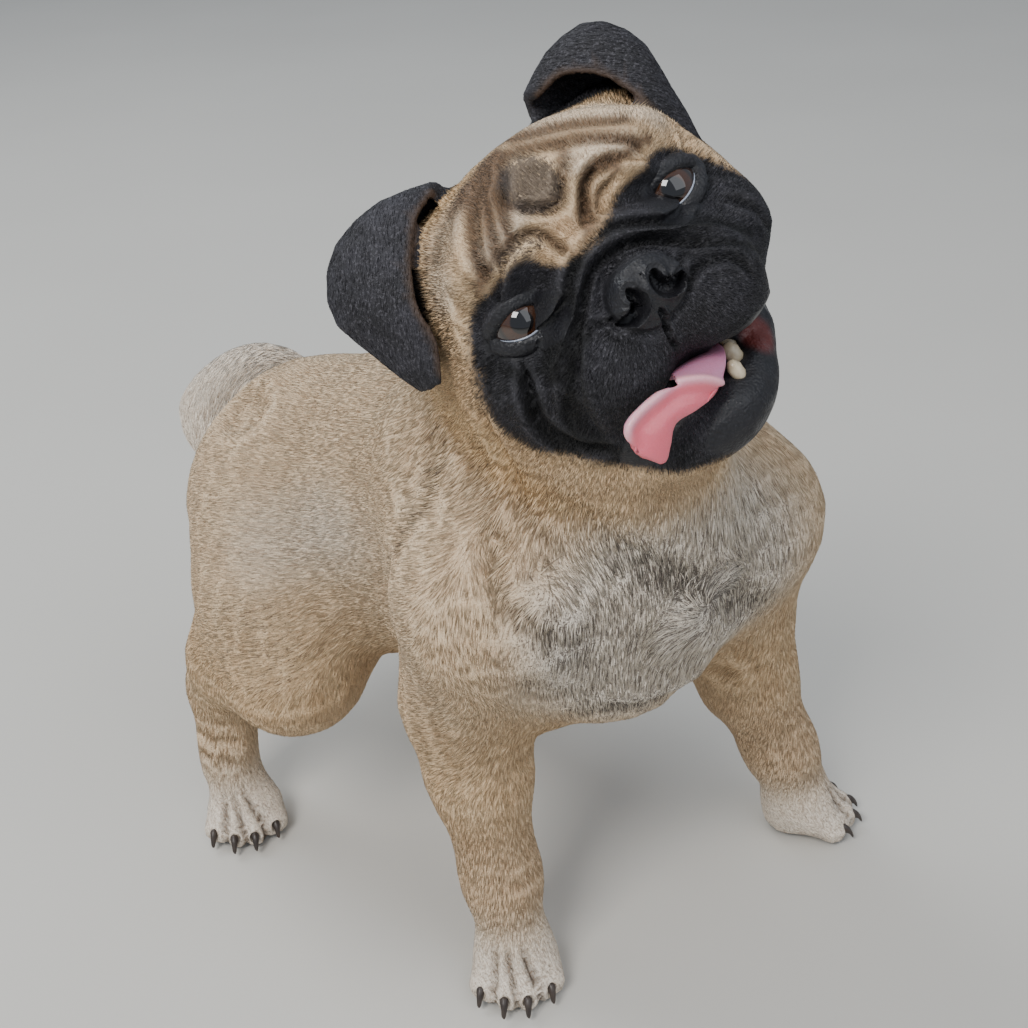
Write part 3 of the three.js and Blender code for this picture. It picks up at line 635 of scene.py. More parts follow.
def head_zones(co):
    """The six amounts on the head, and how much of the head each point belongs to."""
    head = in_head(co)
    flat = head[:, [0, 2]]
    on_head = soft(-head_reach(head), -1.05, -0.9)
    ear = on_ears(co)
    front = soft(-head[:, 1], -36, -20)

    black = soft(inside(flat, mask_outline), -4.5, 4.5) * front * on_head
    right_cup = blob(head, (-54, 47, 30), (17, 18, 28)) * soft(-head[:, 0], 34, 44)
    left_cup = blob(head, (38, 47, 44), (24, 16, 14))
    black = np.maximum.reduce([black, right_cup, left_cup, ear])

    tipped = 1.1 * soft(inside(flat, thumb_mark), -3, 3) * front * (1 - black)
    tipped = np.maximum(tipped, 0.5 * blob(head, (-24, -8, 18), (12, 10, 4.5)))
    cream = sum(stroke(flat, line, 1.5, 6) for line in pale_stripes)
    cream = (0.18 + 0.35 * np.clip(cream, 0, 1)) * on_head * front * (1 - black)

    tan_and_rim_highlight = blob(flat, (3, 12), (9, 6)) + blob(flat, (-8, 14), (5, 7))
    tan_and_rim_highlight += 0.7 * blob(flat, (-60, -18), (7, 20))
    tan_and_rim_highlight = (0.3 * np.clip(tan_and_rim_highlight, 0, 1) + 0.08) * on_head * front * (1 - black)
    gum = blob(head, (29, 6, -58), (6, 12, 7))
    # Painted highlight: a brownish line along each ear's rolled edge, carried in the tan amount
    ear_rim_highlight = np.maximum(*[stroke(head, line, 0.8, 2.6) for line in ear_rim_highlight_lines]) * ear
    tan_and_rim_highlight = np.maximum.reduce([tan_and_rim_highlight, gum, 0.8 * ear_rim_highlight])

    nose = soft(inside(flat, nose_pad), -0.6, 0.8) * soft(-head[:, 1], 12, 17)
    lips = stroke(flat, mouth_line, 5, 9, 4) * soft(-head[:, 1], -34, -20)
    lip = soft(inside(flat, lower_lip), -1, 2) * soft(-head[:, 1], -22, -10)
    bare = np.maximum.reduce([nose, lips, lip]) * on_head
    for x, z in eye_place.values():
        off_eye = np.hypot((flat[:, 0] - x) / 13.5, (flat[:, 1] - z) / 9.5)
        bare = np.maximum(bare, (1 - soft(off_eye, 0.9, 1.25)) * front)

    # Painted shade: darker hair and skin along the face's folds, most in the deepest ones
    crease_shade = 0
    for line, width, depth in face_folds:
        gap, _ = line_distance(flat, curve_through(line, 3))
        crease_shade = crease_shade + bell(gap, 1.35 * width) * min(depth / 2.2, 1)
    crease_shade = np.clip(crease_shade, 0, 1) * front * on_head * (1 - ear)
    return on_head, [black, tipped, cream, tan_and_rim_highlight, bare, crease_shade]


def zones_at(co):
    """For each point two colours of amounts: black, dark-tipped (with painted shade along the body's
    folds), cream (with a painted highlight on the thigh), and tan (with painted highlights on the ear
    rims), bare, and painted shade in creases.
    """
    on_head, (black, tipped, cream, tan_and_rim_highlight, bare, crease_shade) = head_zones(co)
    body = in_body(co)
    forward, height = -body[:, 1], body[:, 2]
    off = 1 - on_head

    chest = blob(body, (-10, -70, 215), (72, 46, 62)) * soft(forward, 0, 45)
    shoulder = line_distance(body, curve_through(body_folds[2][0], 3))[0]
    chest_gaps = [line_distance(body, curve_through(line, 3))[0] for line, _, _ in body_folds[3:7]]
    # Dark-tipped grizzle on chest, back line and thigh, with painted shade as darker tips along the
    # shoulder and chest folds
    grizzle_and_fold_shade = 0.25 * bell(shoulder, 9) + 0.2 * blob(body, (-102, 118, 155), (20, 34, 26))
    grizzle_and_fold_shade += 0.3 * chest * bell(np.minimum.reduce(chest_gaps), 9)
    grizzle_and_fold_shade += 0.34 * chest + 0.25 * blob(body, (-20, 70, 300), (16, 130, 40))
    tipped = np.clip(tipped + grizzle_and_fold_shade * off, 0, 1)

    # Painted highlight: paler hair on the upper thigh, where the light from above falls
    thigh_highlight = blob(body, (-108, 84, 228), (34, 56, 44))
    breast_spot = blob(body, (-8, -78, 189), (9, 14, 8))
    toes = soft(-height, -62, -14) * off
    tail = soft(-forward, 205, 222) * soft(height, 180, 190)
    pale = 0.85 * thigh_highlight + 0.75 * toes + 0.85 * chest + breast_spot + tail
    pale += 0.3 * soft(height, 120, 200) + 0.25 * soft(-height, -180, -60)
    cream = np.clip(cream + pale * off, 0, 1)

    wrist = soft(height, 38, 58) * soft(-height, -120, -84) * soft(forward, -20, 10)
    belly = blob(body, (-34, 88, 132), (40, 44, 26))
    tan_and_rim_highlight = np.clip(tan_and_rim_highlight + (0.2 * wrist + 0.25 * belly) * off, 0, 1)
    soles = soft(-height, -4.5, -1.5) * off
    black = np.maximum(black, soles)
    # Painted shade in the grooves between the toes
    crease_shade = np.maximum(crease_shade, 0.9 * between_toes(body) * off)
    # Painted shade: the hollow inside the tail's curl is darkened through the crease amount
    tail_gap, _ = line_distance(body, curve_through(painted_tail_hole_shade))
    crease_shade = np.clip(crease_shade + bell(tail_gap, 9) * soft(-forward, 200, 212) * off, 0, 1)
    return np.stack([black, tipped, cream], 1), np.stack([tan_and_rim_highlight, bare, crease_shade], 1)


def write_zones(mesh, first, second):
    """Puts both colours of amounts on the mesh as attributes."""
    for name, values in (("zones", first), ("more_zones", second)):
        layer = mesh.attributes.new(name, "FLOAT_COLOR", "POINT")
        layer.data.foreach_set("color", np.concatenate([values, np.ones((len(values), 1))], 1).ravel())


skin_zones = zones_at(points_of(mesh))
write_zones(mesh, *skin_zones)

fawn, light_fawn = srgb("cfab7d"), srgb("e2c8a0")
tan_brown, cream_white = srgb("ad7c46"), srgb("e9e0d2")
fold_shade_brown, root_brown, tip_grey = srgb("453225"), srgb("967352"), srgb("433e3c")
mask_black, mask_patchy_sheen, mask_sheen = srgb("1a191c"), srgb("313036"), srgb("5c5a60")
rim_highlight_brown, fold_shade_black = srgb("54402f"), srgb("060506")


def coat_colour(shader, place, shade):
    """The colour of the coat from the zones at each place, shade being hair-fine and 0 to 1."""
    black, tipped, cream = shader.channels("zones")
    tan_and_rim_highlight, bare, crease_shade = shader.channels("more_zones")
    patch = shader.noise(55, 4, 0.6, place)
    hair = shader.mix(patch, fawn, light_fawn)
    hair = shader.mix(tan_and_rim_highlight * 0.85, hair, tan_brown)
    hair = shader.mix(cream * 0.9, hair, cream_white)
    # Painted shade: fawn hair darkened to brown along the folds
    hair = shader.mix(crease_shade * 0.9 * (1 - black), hair, fold_shade_brown)
    # Darker hair where the shade value is low: scattered dark hairs on the skin, and on the coat painted
    # shade towards each tuft's root
    hair = shader.mix((1 - shade).ramp(0.35, 0.9) * 0.5, hair, root_brown)
    dark = (tipped * 0.95 - shade).ramp(-0.2, 0.16)
    hair = shader.mix(dark * 0.8, hair, tip_grey)
    # Painted sheen: the black mask lightened to slate in patches and on scattered hairs
    mask = shader.mix(patch.ramp(0.35, 0.8), mask_black, mask_patchy_sheen)
    mask = shader.mix((shade - 0.58).ramp(0, 0.3) * 0.45, mask, mask_sheen)
    # Painted highlight: the ear rims lightened to brown within the black
    mask = shader.mix(tan_and_rim_highlight * 0.7, mask, rim_highlight_brown)
    # Painted shade: the mask darkened to near black along the folds
    mask = shader.mix(crease_shade * 0.95, mask, fold_shade_black)
    edge = (black + (patch - 0.5) * 0.5 + (shade - 0.5) * 0.3).ramp(0.26, 0.78)
    return shader.mix(edge, hair, mask), bare, black


skin_look = Shader("skin", Specular_IOR_Level=0.4)
skin_place = skin_look.place()
skin_hair = skin_look.noise(900, 4, 0.7, skin_place)
colour, bare, black = coat_colour(skin_look, skin_place, skin_hair.ramp(0.3, 0.7))
pebble = skin_look.node(
    "ShaderNodeTexVoronoi", {"feature": "SMOOTH_F1"}, {"Vector": skin_place, "Scale": 1100}
)
leather = skin_look.mix(pebble, srgb("222226"), srgb("0e0d10"))
gum = skin_look.channels("more_zones")[0]
leather = skin_look.mix(gum * 0.8, leather, srgb("6b2f2a"))
wet = skin_look.noise(160, 3, 0.6, skin_place)
relief = bare * ((1 - pebble) * 0.8 + wet * 1.5) + (1 - bare) * skin_hair
skin.data.materials.append(
    skin_look.finish(
        Base_Color=skin_look.mix(bare, colour, leather),
        Roughness=0.72 - bare * wet.ramp(0.25, 0.75) * 0.42,
        Normal=skin_look.bump(relief, 0.0005, 0.8),
    )
)
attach(skin, "root")
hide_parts(*flesh)

# Coat: short hair that lies flat, as thin pointed tufts rooted in the skin. It runs back from
# the nose over the head, down chest and legs and along the flanks, and turns in two whorls on
# the chest. Tufts are smallest on face and paws.
rng = np.random.default_rng(7)
mesh.calc_loop_triangles()
corners = np.empty(len(mesh.loop_triangles) * 3, int)
mesh.loop_triangles.foreach_get("vertices", corners)
corners = corners.reshape(-1, 3)
skin_points = points_of(mesh)
skin_normals = normals_of(mesh)


def unit(v):
    """The vectors at length 1."""
    return v / np.maximum(np.linalg.norm(v, axis=1, keepdims=True), 1e-9)


whorls = [(-73, -70, 248), (1, -75, 216)]
chest_outward = (0.2, -1.0, 0.1)
tail_middle = (-15, 232, 206)
nose_tip = (-1, -26, -4)


def flow_at(co):
    """The way the hair points at each place, before it is laid along the skin."""
    head, body = in_head(co), in_body(co)
    way = np.tile([0.0, 1.0, -0.45], (len(co), 1))

    def turn(weight, direction):
        nonlocal way
        weight = np.clip(weight, 0, 1)[:, None]
        way = way * (1 - weight) + unit(np.broadcast_to(direction, way.shape)) * weight

    chest = soft(-body[:, 1], 8, 42) * soft(body[:, 2], 130, 170)
    turn(chest, (0.0, -0.2, -1.0))
    turn(soft(-body[:, 2], -150, -110), (0.0, 0.15, -1.0))
    turn(soft(body[:, 2], 250, 290) * soft(-body[:, 1], -60, -10), (0.1, 0.6, -0.9))
    turn(soft(-body[:, 2], -34, -20), (0.0, -0.9, -0.5))
    for centre in whorls:
        away = body - centre
        spin = np.cross(away, chest_outward)
        turn(bell(np.linalg.norm(away, axis=1), 26), away + 0.7 * spin)
    ring = body - tail_middle
    tail = soft(body[:, 1], 208, 220) * soft(body[:, 2], 176, 190)
    turn(tail, np.stack([ring[:, 2], np.zeros(len(ring)), -ring[:, 0]], 1))
    from_nose = unit(head - nose_tip) + (0, 0.35, 0)
    outward = np.tile([0.7, -0.35, -0.8], (len(head), 1))
    outward[:, 0] *= np.sign(head[:, 0])
    turn(soft(-head_reach(head), -1.02, -0.92), from_nose @ head_axes)
    turn(on_ears(co), outward @ head_axes)
    return way


# Roots: places spread evenly over the skin, closer together on the face, none where it is bare
a, b, c = (skin_points[corners[:, i]] for i in range(3))
area = np.linalg.norm(np.cross(b - a, c - a), axis=1) / 2 / MM**2
middles = (a + b + c) / 3
head_middles = in_head(middles)
faceness = blob(head_middles, (0, 4, -18), (64, 46, 76))
tuft_density = 0.5 + 0.9 * faceness
middle_bare = skin_zones[1][corners, 1].mean(axis=1)
mouth_inside = blob(head_middles, (6, 6, -54), (34, 22, 5.5))
tuft_density *= (1 - soft(middle_bare, 0.25, 0.6)) * (1 - soft(mouth_inside, 0.3, 0.6))
tuft_density *= 1 - 0.9 * soft(-in_body(middles)[:, 2], -5, -2)
total = np.cumsum(area * tuft_density)
tuft_count = 300000
picks = (np.arange(tuft_count) + rng.random(tuft_count)) / tuft_count * total[-1]
chosen = np.minimum(np.searchsorted(total, picks), len(corners) - 1)
u, v = rng.random((2, tuft_count))
over = u + v > 1
u[over], v[over] = 1 - u[over], 1 - v[over]
weights = np.stack([1 - u - v, u, v], 1)


def blend_at(values):
    """Values of the skin's points, blended to the roots."""
    return (values[corners[chosen]] * weights[..., None]).sum(axis=1)


roots = blend_at(skin_points)
root_normals = unit(blend_at(skin_normals))
root_zones = [blend_at(z) for z in skin_zones]
root_head, root_body = in_head(roots), in_body(roots)
lie = flow_at(roots)
untidiness = 0.07
lie += rng.normal(0, untidiness, lie.shape)
lie = unit(lie - root_normals * (lie * root_normals).sum(axis=1, keepdims=True))
side_way = np.cross(root_normals, lie)

# The hair in millimetres: shortest and finest on face, ears and paws, longest on the neck
face_part = blob(root_head, (0, 4, -18), (60, 44, 74))
ear_part = on_ears(roots)
small = np.maximum(face_part, np.maximum(ear_part, soft(-root_body[:, 2], -60, -26)))
length = (7.2 - 4.4 * small) * rng.uniform(0.75, 1.2, tuft_count)
neck_part = blob(root_body, (-20, -40, 240), (90, 70, 70))
length *= 1 + 0.2 * neck_part * (1 - face_part)
finer = np.maximum(ear_part, face_part * root_zones[0][:, 0])
length *= 1 - 0.28 * finer
width = (0.62 - 0.3 * small - 0.05 * finer) * rng.uniform(0.8, 1.2, tuft_count)
rise = (0.42 - 0.16 * small - 0.12 * finer) * rng.uniform(0.6, 1.5, tuft_count)
scale = np.stack([length, width, rise], 1) * MM

# Each tuft is a flat three-sided spike with a closed root, whose tip follows the skin
hide = bmesh.new()
hide.from_mesh(mesh)
hide_tree = BVHTree.FromBMesh(hide)
hide.free()
tips = roots + lie * scale[:, :1]
for i in range(tuft_count):
    place, normal, _, _ = hide_tree.find_nearest(tips[i])
    tips[i] = place + normal * scale[i, 2]
root_middle = roots - lie * scale[:, :1] * 0.04 - root_normals * scale[:, 2:] * 0.3
points = np.stack(
    [
        root_middle + side_way * scale[:, 1:2] * 0.5,
        root_middle + root_normals * (scale[:, 1:2] * 0.3 + scale[:, 2:] * 0.5),
        root_middle - side_way * scale[:, 1:2] * 0.5,
        tips,
    ],
    1,
)
faces = np.array([(0, 1, 3), (1, 2, 3), (2, 0, 3), (2, 1, 0)])

# The bake map: the skin's own shape laid out in boxes, one for each way that it faces in each
# part of the body, and each tuft a small patch where its root is
fore_leg = (root_body[:, 2] < 135) & (root_body[:, 1] < 60)
hind_leg = root_body[:, 2] < 115
part_of = np.select(
    [
        head_reach(root_head) < 1,
        root_body[:, 1] > 214,
        fore_leg & (root_body[:, 0] < 10),
        fore_leg,
        hind_leg & (root_body[:, 0] < -20),
        hind_leg,
    ],
    [0, 1, 2, 3, 4, 5],
    6,
)
strongest = np.abs(root_normals).argmax(axis=1)
facing_way = strongest * 2 + (np.take_along_axis(root_normals, strongest[:, None], 1)[:, 0] > 0)
island = part_of * 6 + facing_way
others = np.array([(1, 2), (0, 2), (0, 1)])[strongest]
flat_place = np.take_along_axis(root_body, others, 1)
tuft_uv = np.zeros((tuft_count, 2))
sheet_width = 1150.0
border = 2
sheet_margin = 1.002
shelf_x, shelf_y, shelf_height = 0.0, 0.0, 0.0
sizes = {}
for i in np.unique(island):
    here = flat_place[island == i]
    sizes[i] = (here.min(axis=0), np.ptp(here, axis=0) + 2 * border)
for i in sorted(sizes, key=lambda i: -sizes[i][1][1]):
    low, (wide, tall) = sizes[i]
    if shelf_x + wide > sheet_width:
        shelf_x, shelf_y, shelf_height = 0.0, shelf_y + shelf_height, 0.0
    here = island == i
    tuft_uv[here] = flat_place[here] - low + (shelf_x + border, shelf_y + border)
    shelf_x, shelf_height = shelf_x + wide, max(shelf_height, tall)
tuft_uv /= max(sheet_width, shelf_y + shelf_height) * sheet_margin
patch_size = 0.003
corner_uv = np.array([(0, 0), (0.5, 0.3), (1, 0), (0.5, 1)]) * patch_size

coat_look = Shader("coat", Specular_IOR_Level=0.35)
coat_place = coat_look.place()
coat_shade = coat_look.node("ShaderNodeAttribute", {"attribute_name": "shade"}, output="Fac")
colour, _, black = coat_colour(coat_look, coat_place, coat_shade)
coat_material = coat_look.finish(
    Base_Color=colour, Roughness=0.62 - black * 0.1 + coat_look.noise(300, 2, 0.5, coat_place) * 0.1
)


def tuft_piece(name, keep):
    """The tufts of one part of the body as a single mesh."""
    count = len(keep)
    mesh = bpy.data.meshes.new(name)
    mesh.vertices.add(count * 4)
    mesh.vertices.foreach_set("co", points[keep].ravel())
    triangles = (faces[None] + np.arange(count)[:, None, None] * 4).reshape(-1, 3)
    mesh.loops.add(triangles.size)
    mesh.loops.foreach_set("vertex_index", triangles.ravel())
    mesh.polygons.add(len(triangles))
    mesh.polygons.foreach_set("loop_start", np.arange(0, triangles.size, 3))
    mesh.update(calc_edges=True)
    mesh.shade_smooth()
    write_zones(mesh, *[np.repeat(z[keep], 4, axis=0) for z in root_zones])
    shade = mesh.attributes.new("shade", "FLOAT", "POINT")
    # Painted shade: the shade value is lowered at each tuft's root and raised at its tip
    along = np.array([-0.2, -0.1, -0.2, 0.15])
    shade.data.foreach_set("value", np.clip(tuft_shade[keep][:, None] + along, 0, 1).ravel())
    uv = mesh.uv_layers.new(name="OFBake")
    uv.data.foreach_set("uv", (tuft_uv[keep][:, None] + corner_uv[faces.ravel()]).ravel())
    mesh.materials.append(coat_material)
    piece = bpy.data.objects.new(name, mesh)
    bpy.context.scene.collection.objects.link(piece)
    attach(piece, "root")


tuft_shade = rng.beta(2.2, 2.2, tuft_count)
order = np.lexsort((root_body[:, 1], part_of))
tufts_in_piece = 49000
pieces = math.ceil(tuft_count / tufts_in_piece)
for number, keep in enumerate(np.array_split(order, pieces)):
    tuft_piece(f"coat_{number + 1}", keep)

# Eyes: wet balls, each with a brown iris and a wide pupil under a clear bulging cornea. A ball
# is a sphere drawn out at the front, turned a little towards the camera, inside its lids.
gaze = camera.matrix_world.translation - between_eyes
gaze = (gaze.normalized() * 0.6 + face_forward * 0.4).normalized()
turned = gaze.to_track_quat("Z", "Y").to_matrix().to_4x4()
eye_look = Shader("eye", Roughness=0.04, Coat_Weight=1.0, Coat_Roughness=0.01)
eye_map = eye_look.node("ShaderNodeUVMap", {"uv_map": "iris"})
from_axis = eye_look.node("ShaderNodeSeparateXYZ", {}, {0: eye_map}, output=0)
around = eye_look.node("ShaderNodeSeparateXYZ", {}, {0: eye_map}, output=1)
streak_vector = eye_look.node("ShaderNodeCombineXYZ", {}, {0: from_axis * 2, 1: around * 60})
streaks = eye_look.noise(1.6, 3, 0.6, streak_vector)
iris = eye_look.mix(streaks, srgb("241209"), srgb("472813"))
iris = eye_look.mix(from_axis.ramp(0.58, 0.72), iris, srgb("120907"))
iris = eye_look.mix(1 - from_axis.ramp(0.3, 0.37), iris, srgb("060405"))
eye_colour = eye_look.mix(from_axis.ramp(0.74, 0.8), iris, srgb("2c211e"))
eye_material = eye_look.finish(Base_Color=eye_colour)
cornea_bulge, cornea_width = 0.06, 0.5
for side in ("left", "right"):
    ball = bmesh.new()
    bmesh.ops.create_uvsphere(ball, u_segments=48, v_segments=40, radius=ball_radius * MM)
    iris_map = ball.loops.layers.uv.new("iris")
    for face in ball.faces:
        for loop in face.loops:
            direction = loop.vert.co.normalized()
            angle = math.atan2(direction.y, direction.x) / math.tau + 0.5
            middle = face.calc_center_median()
            if abs(angle - (math.atan2(middle.y, middle.x) / math.tau + 0.5)) > 0.5:
                angle = 1 - angle
            loop[iris_map].uv = (math.acos(max(-1, min(1, direction.z))), angle)
    for vert in ball.verts:
        off_axis = math.acos(max(-1, min(1, vert.co.normalized().z)))
        vert.co *= 1 + cornea_bulge * math.exp(-((off_axis / cornea_width) ** 4))
    bmesh.ops.transform(ball, matrix=Matrix.Translation(eye_centre[side]) @ turned, verts=ball.verts)
    eye = finished(f"eyeball_{side}", ball, eye_material)
    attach(eye, "root")
    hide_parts(f"eye_{side}")

# Lid rims: the bare wet edge of each lid, black, with a thin pale bluish line along the lower
# one, a painted reflection of the light on the wet edge. Both are closed tubes that follow the
# opening which the skin leaves over the ball.
rim_look = Shader("lid_rim", Roughness=0.22, Coat_Weight=0.5)
rim_material = rim_look.finish(Base_Color=rim_look.mix(rim_look.noise(400), srgb("0b090a"), srgb("1c191b")))
lid_reflection_look = Shader("wet_lid_reflection", Roughness=0.25, Coat_Weight=0.5)
lid_reflection_colour = lid_reflection_look.mix(lid_reflection_look.noise(500), srgb("7d8494"), srgb("a4abb8"))
lid_reflection_material = lid_reflection_look.finish(Base_Color=lid_reflection_colour)
rim_radius = 0.8 * MM
edge_radius = 0.42 * MM


def tube(bm, line, radii, sides=8):
    """A closed tube through the points of a line, in metres, with a radius at each."""
    line = [Vector(p) for p in line]
    last = None
    ends = []
    for i, (centre, radius) in enumerate(zip(line, radii)):
        way = (line[min(i + 1, len(line) - 1)] - line[max(i - 1, 0)]).normalized()
        turn = way.to_track_quat("Z", "Y").to_matrix().to_4x4()
        ring = bmesh.ops.create_circle(
            bm, segments=sides, radius=radius, matrix=Matrix.Translation(centre) @ turn
        )["verts"]
        edges = list({e for v in ring for e in v.link_edges if e.other_vert(v) in ring})
        if last:
            bmesh.ops.bridge_loops(bm, edges=last + edges)
        ends += [ring] if i in (0, len(line) - 1) else []
        last = edges
    for ring in ends:
        bmesh.ops.contextual_create(bm, geom=ring)
    bmesh.ops.recalc_face_normals(bm, faces=bm.faces)


def on_lid(name, angle, grow, out):
    """A place at an angle round the opening, so much wider than it and so far off the ball."""
    centre = in_head(np.array(eye_centre[name])[None])[0]
    along = math.cos(angle) * (lid_width + grow)
    lens = max(1 - (along / (lid_width + grow)) ** 2, 0) ** lens_power
    height = math.copysign(lens, math.sin(angle))
    height *= (lid_height["upper"] if height > 0 else lid_height["lower"]) + grow
    across = along * tilt_cos - height * tilt_sin
    rise = height * tilt_cos + along * tilt_sin
    x = eye_place[name][0] + math.copysign(1, eye_place[name][0]) * across - centre[0]
    z = eye_place[name][1] + rise - centre[2]
    y = -math.sqrt(max(lid_radius**2 - x * x - z * z, 1))
    return from_head(centre + np.array([x, y, z]) * ((ball_radius + out) / lid_radius))


for name in ("left", "right"):
    rim = bmesh.new()
    round_lid = [on_lid(name, i / 40 * math.tau + 0.05, 0.25, 0.55) for i in range(40)]
    tube(rim, round_lid + round_lid[:1], [rim_radius] * 41)
    lid_rim = finished(f"lid_rim_{name}", rim, rim_material)
    # Painted reflection: a pale bluish tube along the lower lid
    pale = bmesh.new()
    lower = [on_lid(name, math.pi + 0.35 + i / 20 * (math.pi - 0.7), -0.75, 0.35) for i in range(21)]
    tube(pale, lower, [edge_radius * math.sin(math.pi * (i + 1.5) / 23) for i in range(21)])
    wet_lid_reflection = finished(f"wet_lid_reflection_{name}", pale, lid_reflection_material)
    for piece in (lid_rim, wet_lid_reflection):
        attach(piece, "root")

# Tongue: long, thin and wet. It leaves the mouth on its edge, so that a pale thick rim runs
# between the lilac upper side and the coral underside, and ends in a lobe at the dog's right.
# Towards the back of the mouth it is painted darker, as shade.
stations = [(6, 20, -52), (5, 6, -50.5), (2, -8, -49), (-1, -17, -50), (-6, -21.5, -52.3)]
stations += [(-12.5, -23.5, -51.4), (-19.5, -25, -50), (-25.5, -25.5, -52.3), (-30.5, -25.5, -54.2)]
stations += [(-35, -25, -54.6)]
across_way = [(1, 0, 0), (1, 0, -0.1), (0.93, 0.12, -0.35), (0.8, 0.25, -0.55), (0.6, 0.2, -0.78)]
across_way += [(0.35, 0.15, -0.93), (0.12, 0.1, -0.98), (0.1, 0.1, -0.98)] + 2 * [(0.12, 0.1, -0.98)]
half_width = [9, 10.5, 11, 9.5, 7.2, 6.4, 6.0, 8.2, 9.6, 6.4]
half_thick, middle_groove, tongue_sides = 2.1, 0.8, 28
centres = curve_through(stations, 6)
ways = unit(curve_through(across_way, 6))
widths = curve_through([(w, 0) for w in half_width], 6)[:, 0]
tongue_rim = [(4.5, -59.5), (0.1, -53.1), (-4.4, -49), (-10.7, -45.6), (-18.5, -44.6), (-26, -44.6)]
tongue_rim += [(-31.8, -45.9), (-35.3, -49.5)]
tongue = bmesh.new()
last = None
for i, (middle, way, half) in enumerate(zip(centres, ways, widths)):
    tangent = unit((centres[min(i + 1, len(centres) - 1)] - centres[max(i - 1, 0)])[None])[0]
    over = np.cross(way, tangent)
    at_end = i / (len(centres) - 1)
    narrowing = 0.55 * max(0, at_end - 0.93) / 0.07
    half *= 1 - narrowing
    ring = []
    for k in range(tongue_sides):
        angle = k / tongue_sides * math.tau
        thick = half_thick - 0.5 * math.cos(angle) ** 2
        groove = middle_groove * math.exp(-((math.cos(angle) / 0.22) ** 2)) * (math.sin(angle) > 0)
        point = middle + way * math.cos(angle) * half + over * math.sin(angle) * (thick - groove)
        ring.append(tongue.verts.new(from_head(point)))
    edges = [tongue.edges.new(pair) for pair in zip(ring, ring[1:] + ring[:1])]
    if last:
        bmesh.ops.bridge_loops(tongue, edges=last + edges)
    if i in (0, len(centres) - 1):
        bmesh.ops.contextual_create(tongue, geom=ring)
    last = edges
bmesh.ops.recalc_face_normals(tongue, faces=tongue.faces)
bmesh.ops.triangulate(tongue, faces=[f for f in tongue.faces if len(f.verts) > 4])
bmesh.ops.subdivide_edges(tongue, edges=tongue.edges, cuts=1, use_grid_fill=True, smooth=0.4)
tongue.normal_update()
tongue_points = in_head(np.array([v.co for v in tongue.verts]))
rim_line = curve_through(tongue_rim)
gap, _ = line_distance(tongue_points[:, [0, 2]], rim_line)
rim_level = np.interp(tongue_points[:, 0], rim_line[::-1, 0], rim_line[::-1, 1])
under = soft(rim_level - tongue_points[:, 2], 0.0, 2.5)
shape = 1.3 * bell(gap, 1.3) - 1.3 * under * bell(gap - 4.5, 2.6)
for vert, push in zip(tongue.verts, shape):
    if vert.normal.dot(face_forward) > 0:
        vert.co += vert.normal * float(push) * MM
tongue_look = Shader("tongue", Coat_Weight=0.35, Subsurface_Weight=0.15, Subsurface_Scale=0.003)
rim_amount, under_amount, mouth_shade_amount = tongue_look.channels("tongue_zones")
buds = tongue_look.noise(1300, 3, 0.6)
flesh_colour = tongue_look.mix(under_amount, srgb("c487a6"), srgb("dc6a78"))
# Painted shade: darker where the tongue goes back into the mouth
flesh_colour = tongue_look.mix(mouth_shade_amount, flesh_colour, srgb("5d2c3c"))
flesh_colour = tongue_look.mix(rim_amount * 0.9, flesh_colour, srgb("f7bcc4"))
flesh_colour = tongue_look.mix(buds * 0.35, flesh_colour, srgb("b3505f"))
tongue_material = tongue_look.finish(
    Base_Color=flesh_colour, Roughness=0.5 - under_amount * 0.22, Normal=tongue_look.bump(buds, 0.0003, 0.6)
)
tongue_piece = finished("tongue_flesh", tongue, tongue_material)
layer = tongue_piece.data.attributes.new("tongue_zones", "FLOAT_COLOR", "POINT")
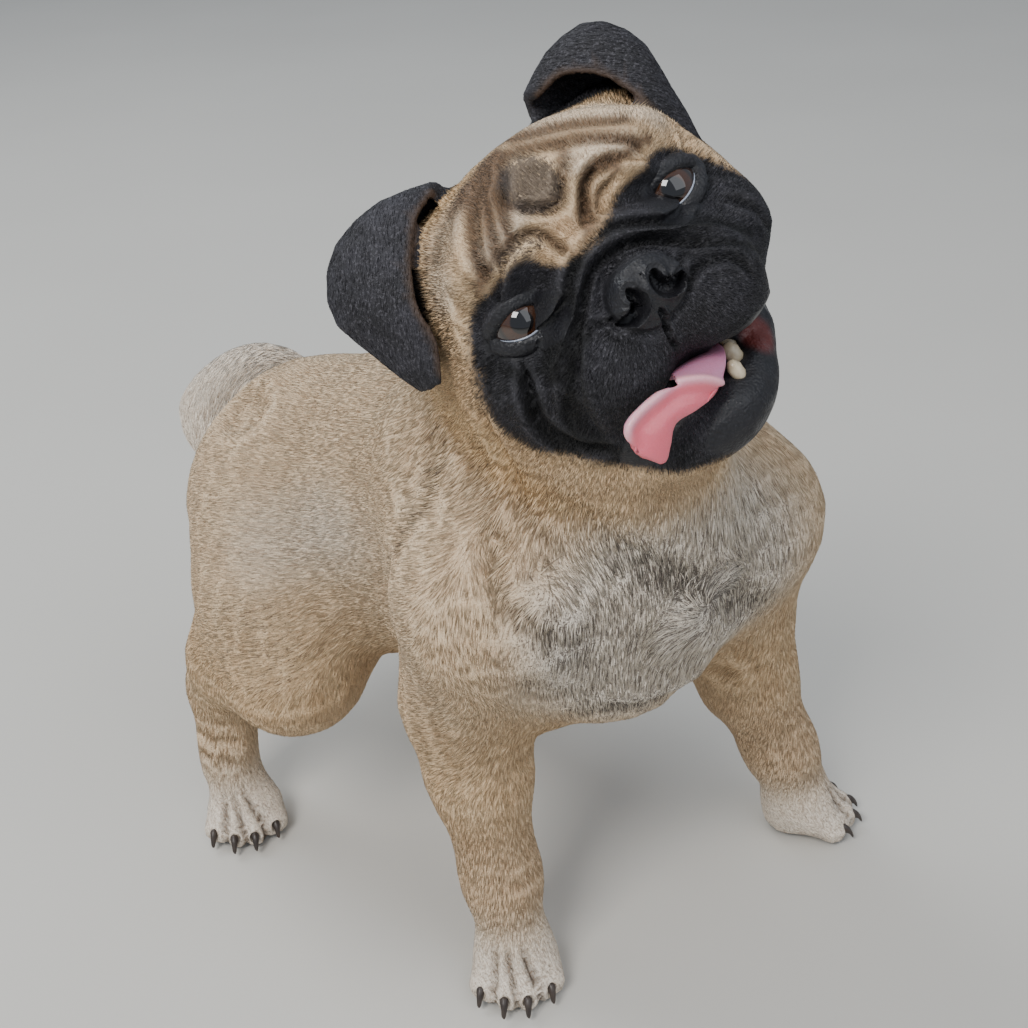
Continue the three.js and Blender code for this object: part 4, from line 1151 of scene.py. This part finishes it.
# Painted shade, growing towards the back of the mouth
mouth_shade = soft(tongue_points[:, 1], -2, 12)
amounts = np.stack([bell(gap, 1.2), under, mouth_shade, np.ones(len(gap))], 1)
layer.data.foreach_set("color", amounts.ravel())
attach(tongue_piece, "root")
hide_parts("tongue")

# Teeth: three ivory pegs of the lower jaw, a little stained. Each is the solid of its tooth
# with all its edges rounded, fixed in the jaw.
tooth_look = Shader("tooth", Roughness=0.25, Coat_Weight=0.3)
stain = tooth_look.noise(350, 3)
tooth_material = tooth_look.finish(Base_Color=tooth_look.mix(stain, srgb("b09a78"), srgb("ded2b8")))
for number in (1, 2, 3):
    crown = node_copy(f"tooth_{number}")
    bmesh.ops.subdivide_edges(crown, edges=crown.edges, cuts=1, use_grid_fill=True, smooth=1.0)
    tooth = finished(f"tooth_crown_{number}", crown, tooth_material)
    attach(tooth, "root")
    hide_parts(f"tooth_{number}")

# Claws: short dark horn, worn by walking, one at the front of each toe. Each is the solid of
# its claw, rounded and drawn in towards its bed.
claw_look = Shader("claw", Roughness=0.4)
horn = claw_look.noise(260, 4)
claw_material = claw_look.finish(
    Base_Color=claw_look.mix(horn, srgb("1b1615"), srgb("4a3f38")),
    Normal=claw_look.bump(claw_look.noise(900, 2), 0.0002, 0.5),
)
claw_bed = Vector((0, 3, 1)) * MM
worn_to = 0.78
for node in [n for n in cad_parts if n.startswith("claw")]:
    horn_mesh = node_copy(node)
    bmesh.ops.subdivide_edges(horn_mesh, edges=horn_mesh.edges, cuts=2, use_grid_fill=True, smooth=1.0)
    for _ in range(2):
        bmesh.ops.smooth_vert(
            horn_mesh, verts=horn_mesh.verts, factor=0.5, use_axis_x=True, use_axis_y=True, use_axis_z=True
        )
    root = sum((v.co for v in horn_mesh.verts), Vector()) / len(horn_mesh.verts) + claw_bed
    worn = Matrix.Translation(root) @ Matrix.Scale(worn_to, 4) @ Matrix.Translation(-root)
    bmesh.ops.transform(horn_mesh, matrix=worn, verts=horn_mesh.verts)
    claw = finished(f"horn_{node}", horn_mesh, claw_material)
    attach(claw, "root")
    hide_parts(node)
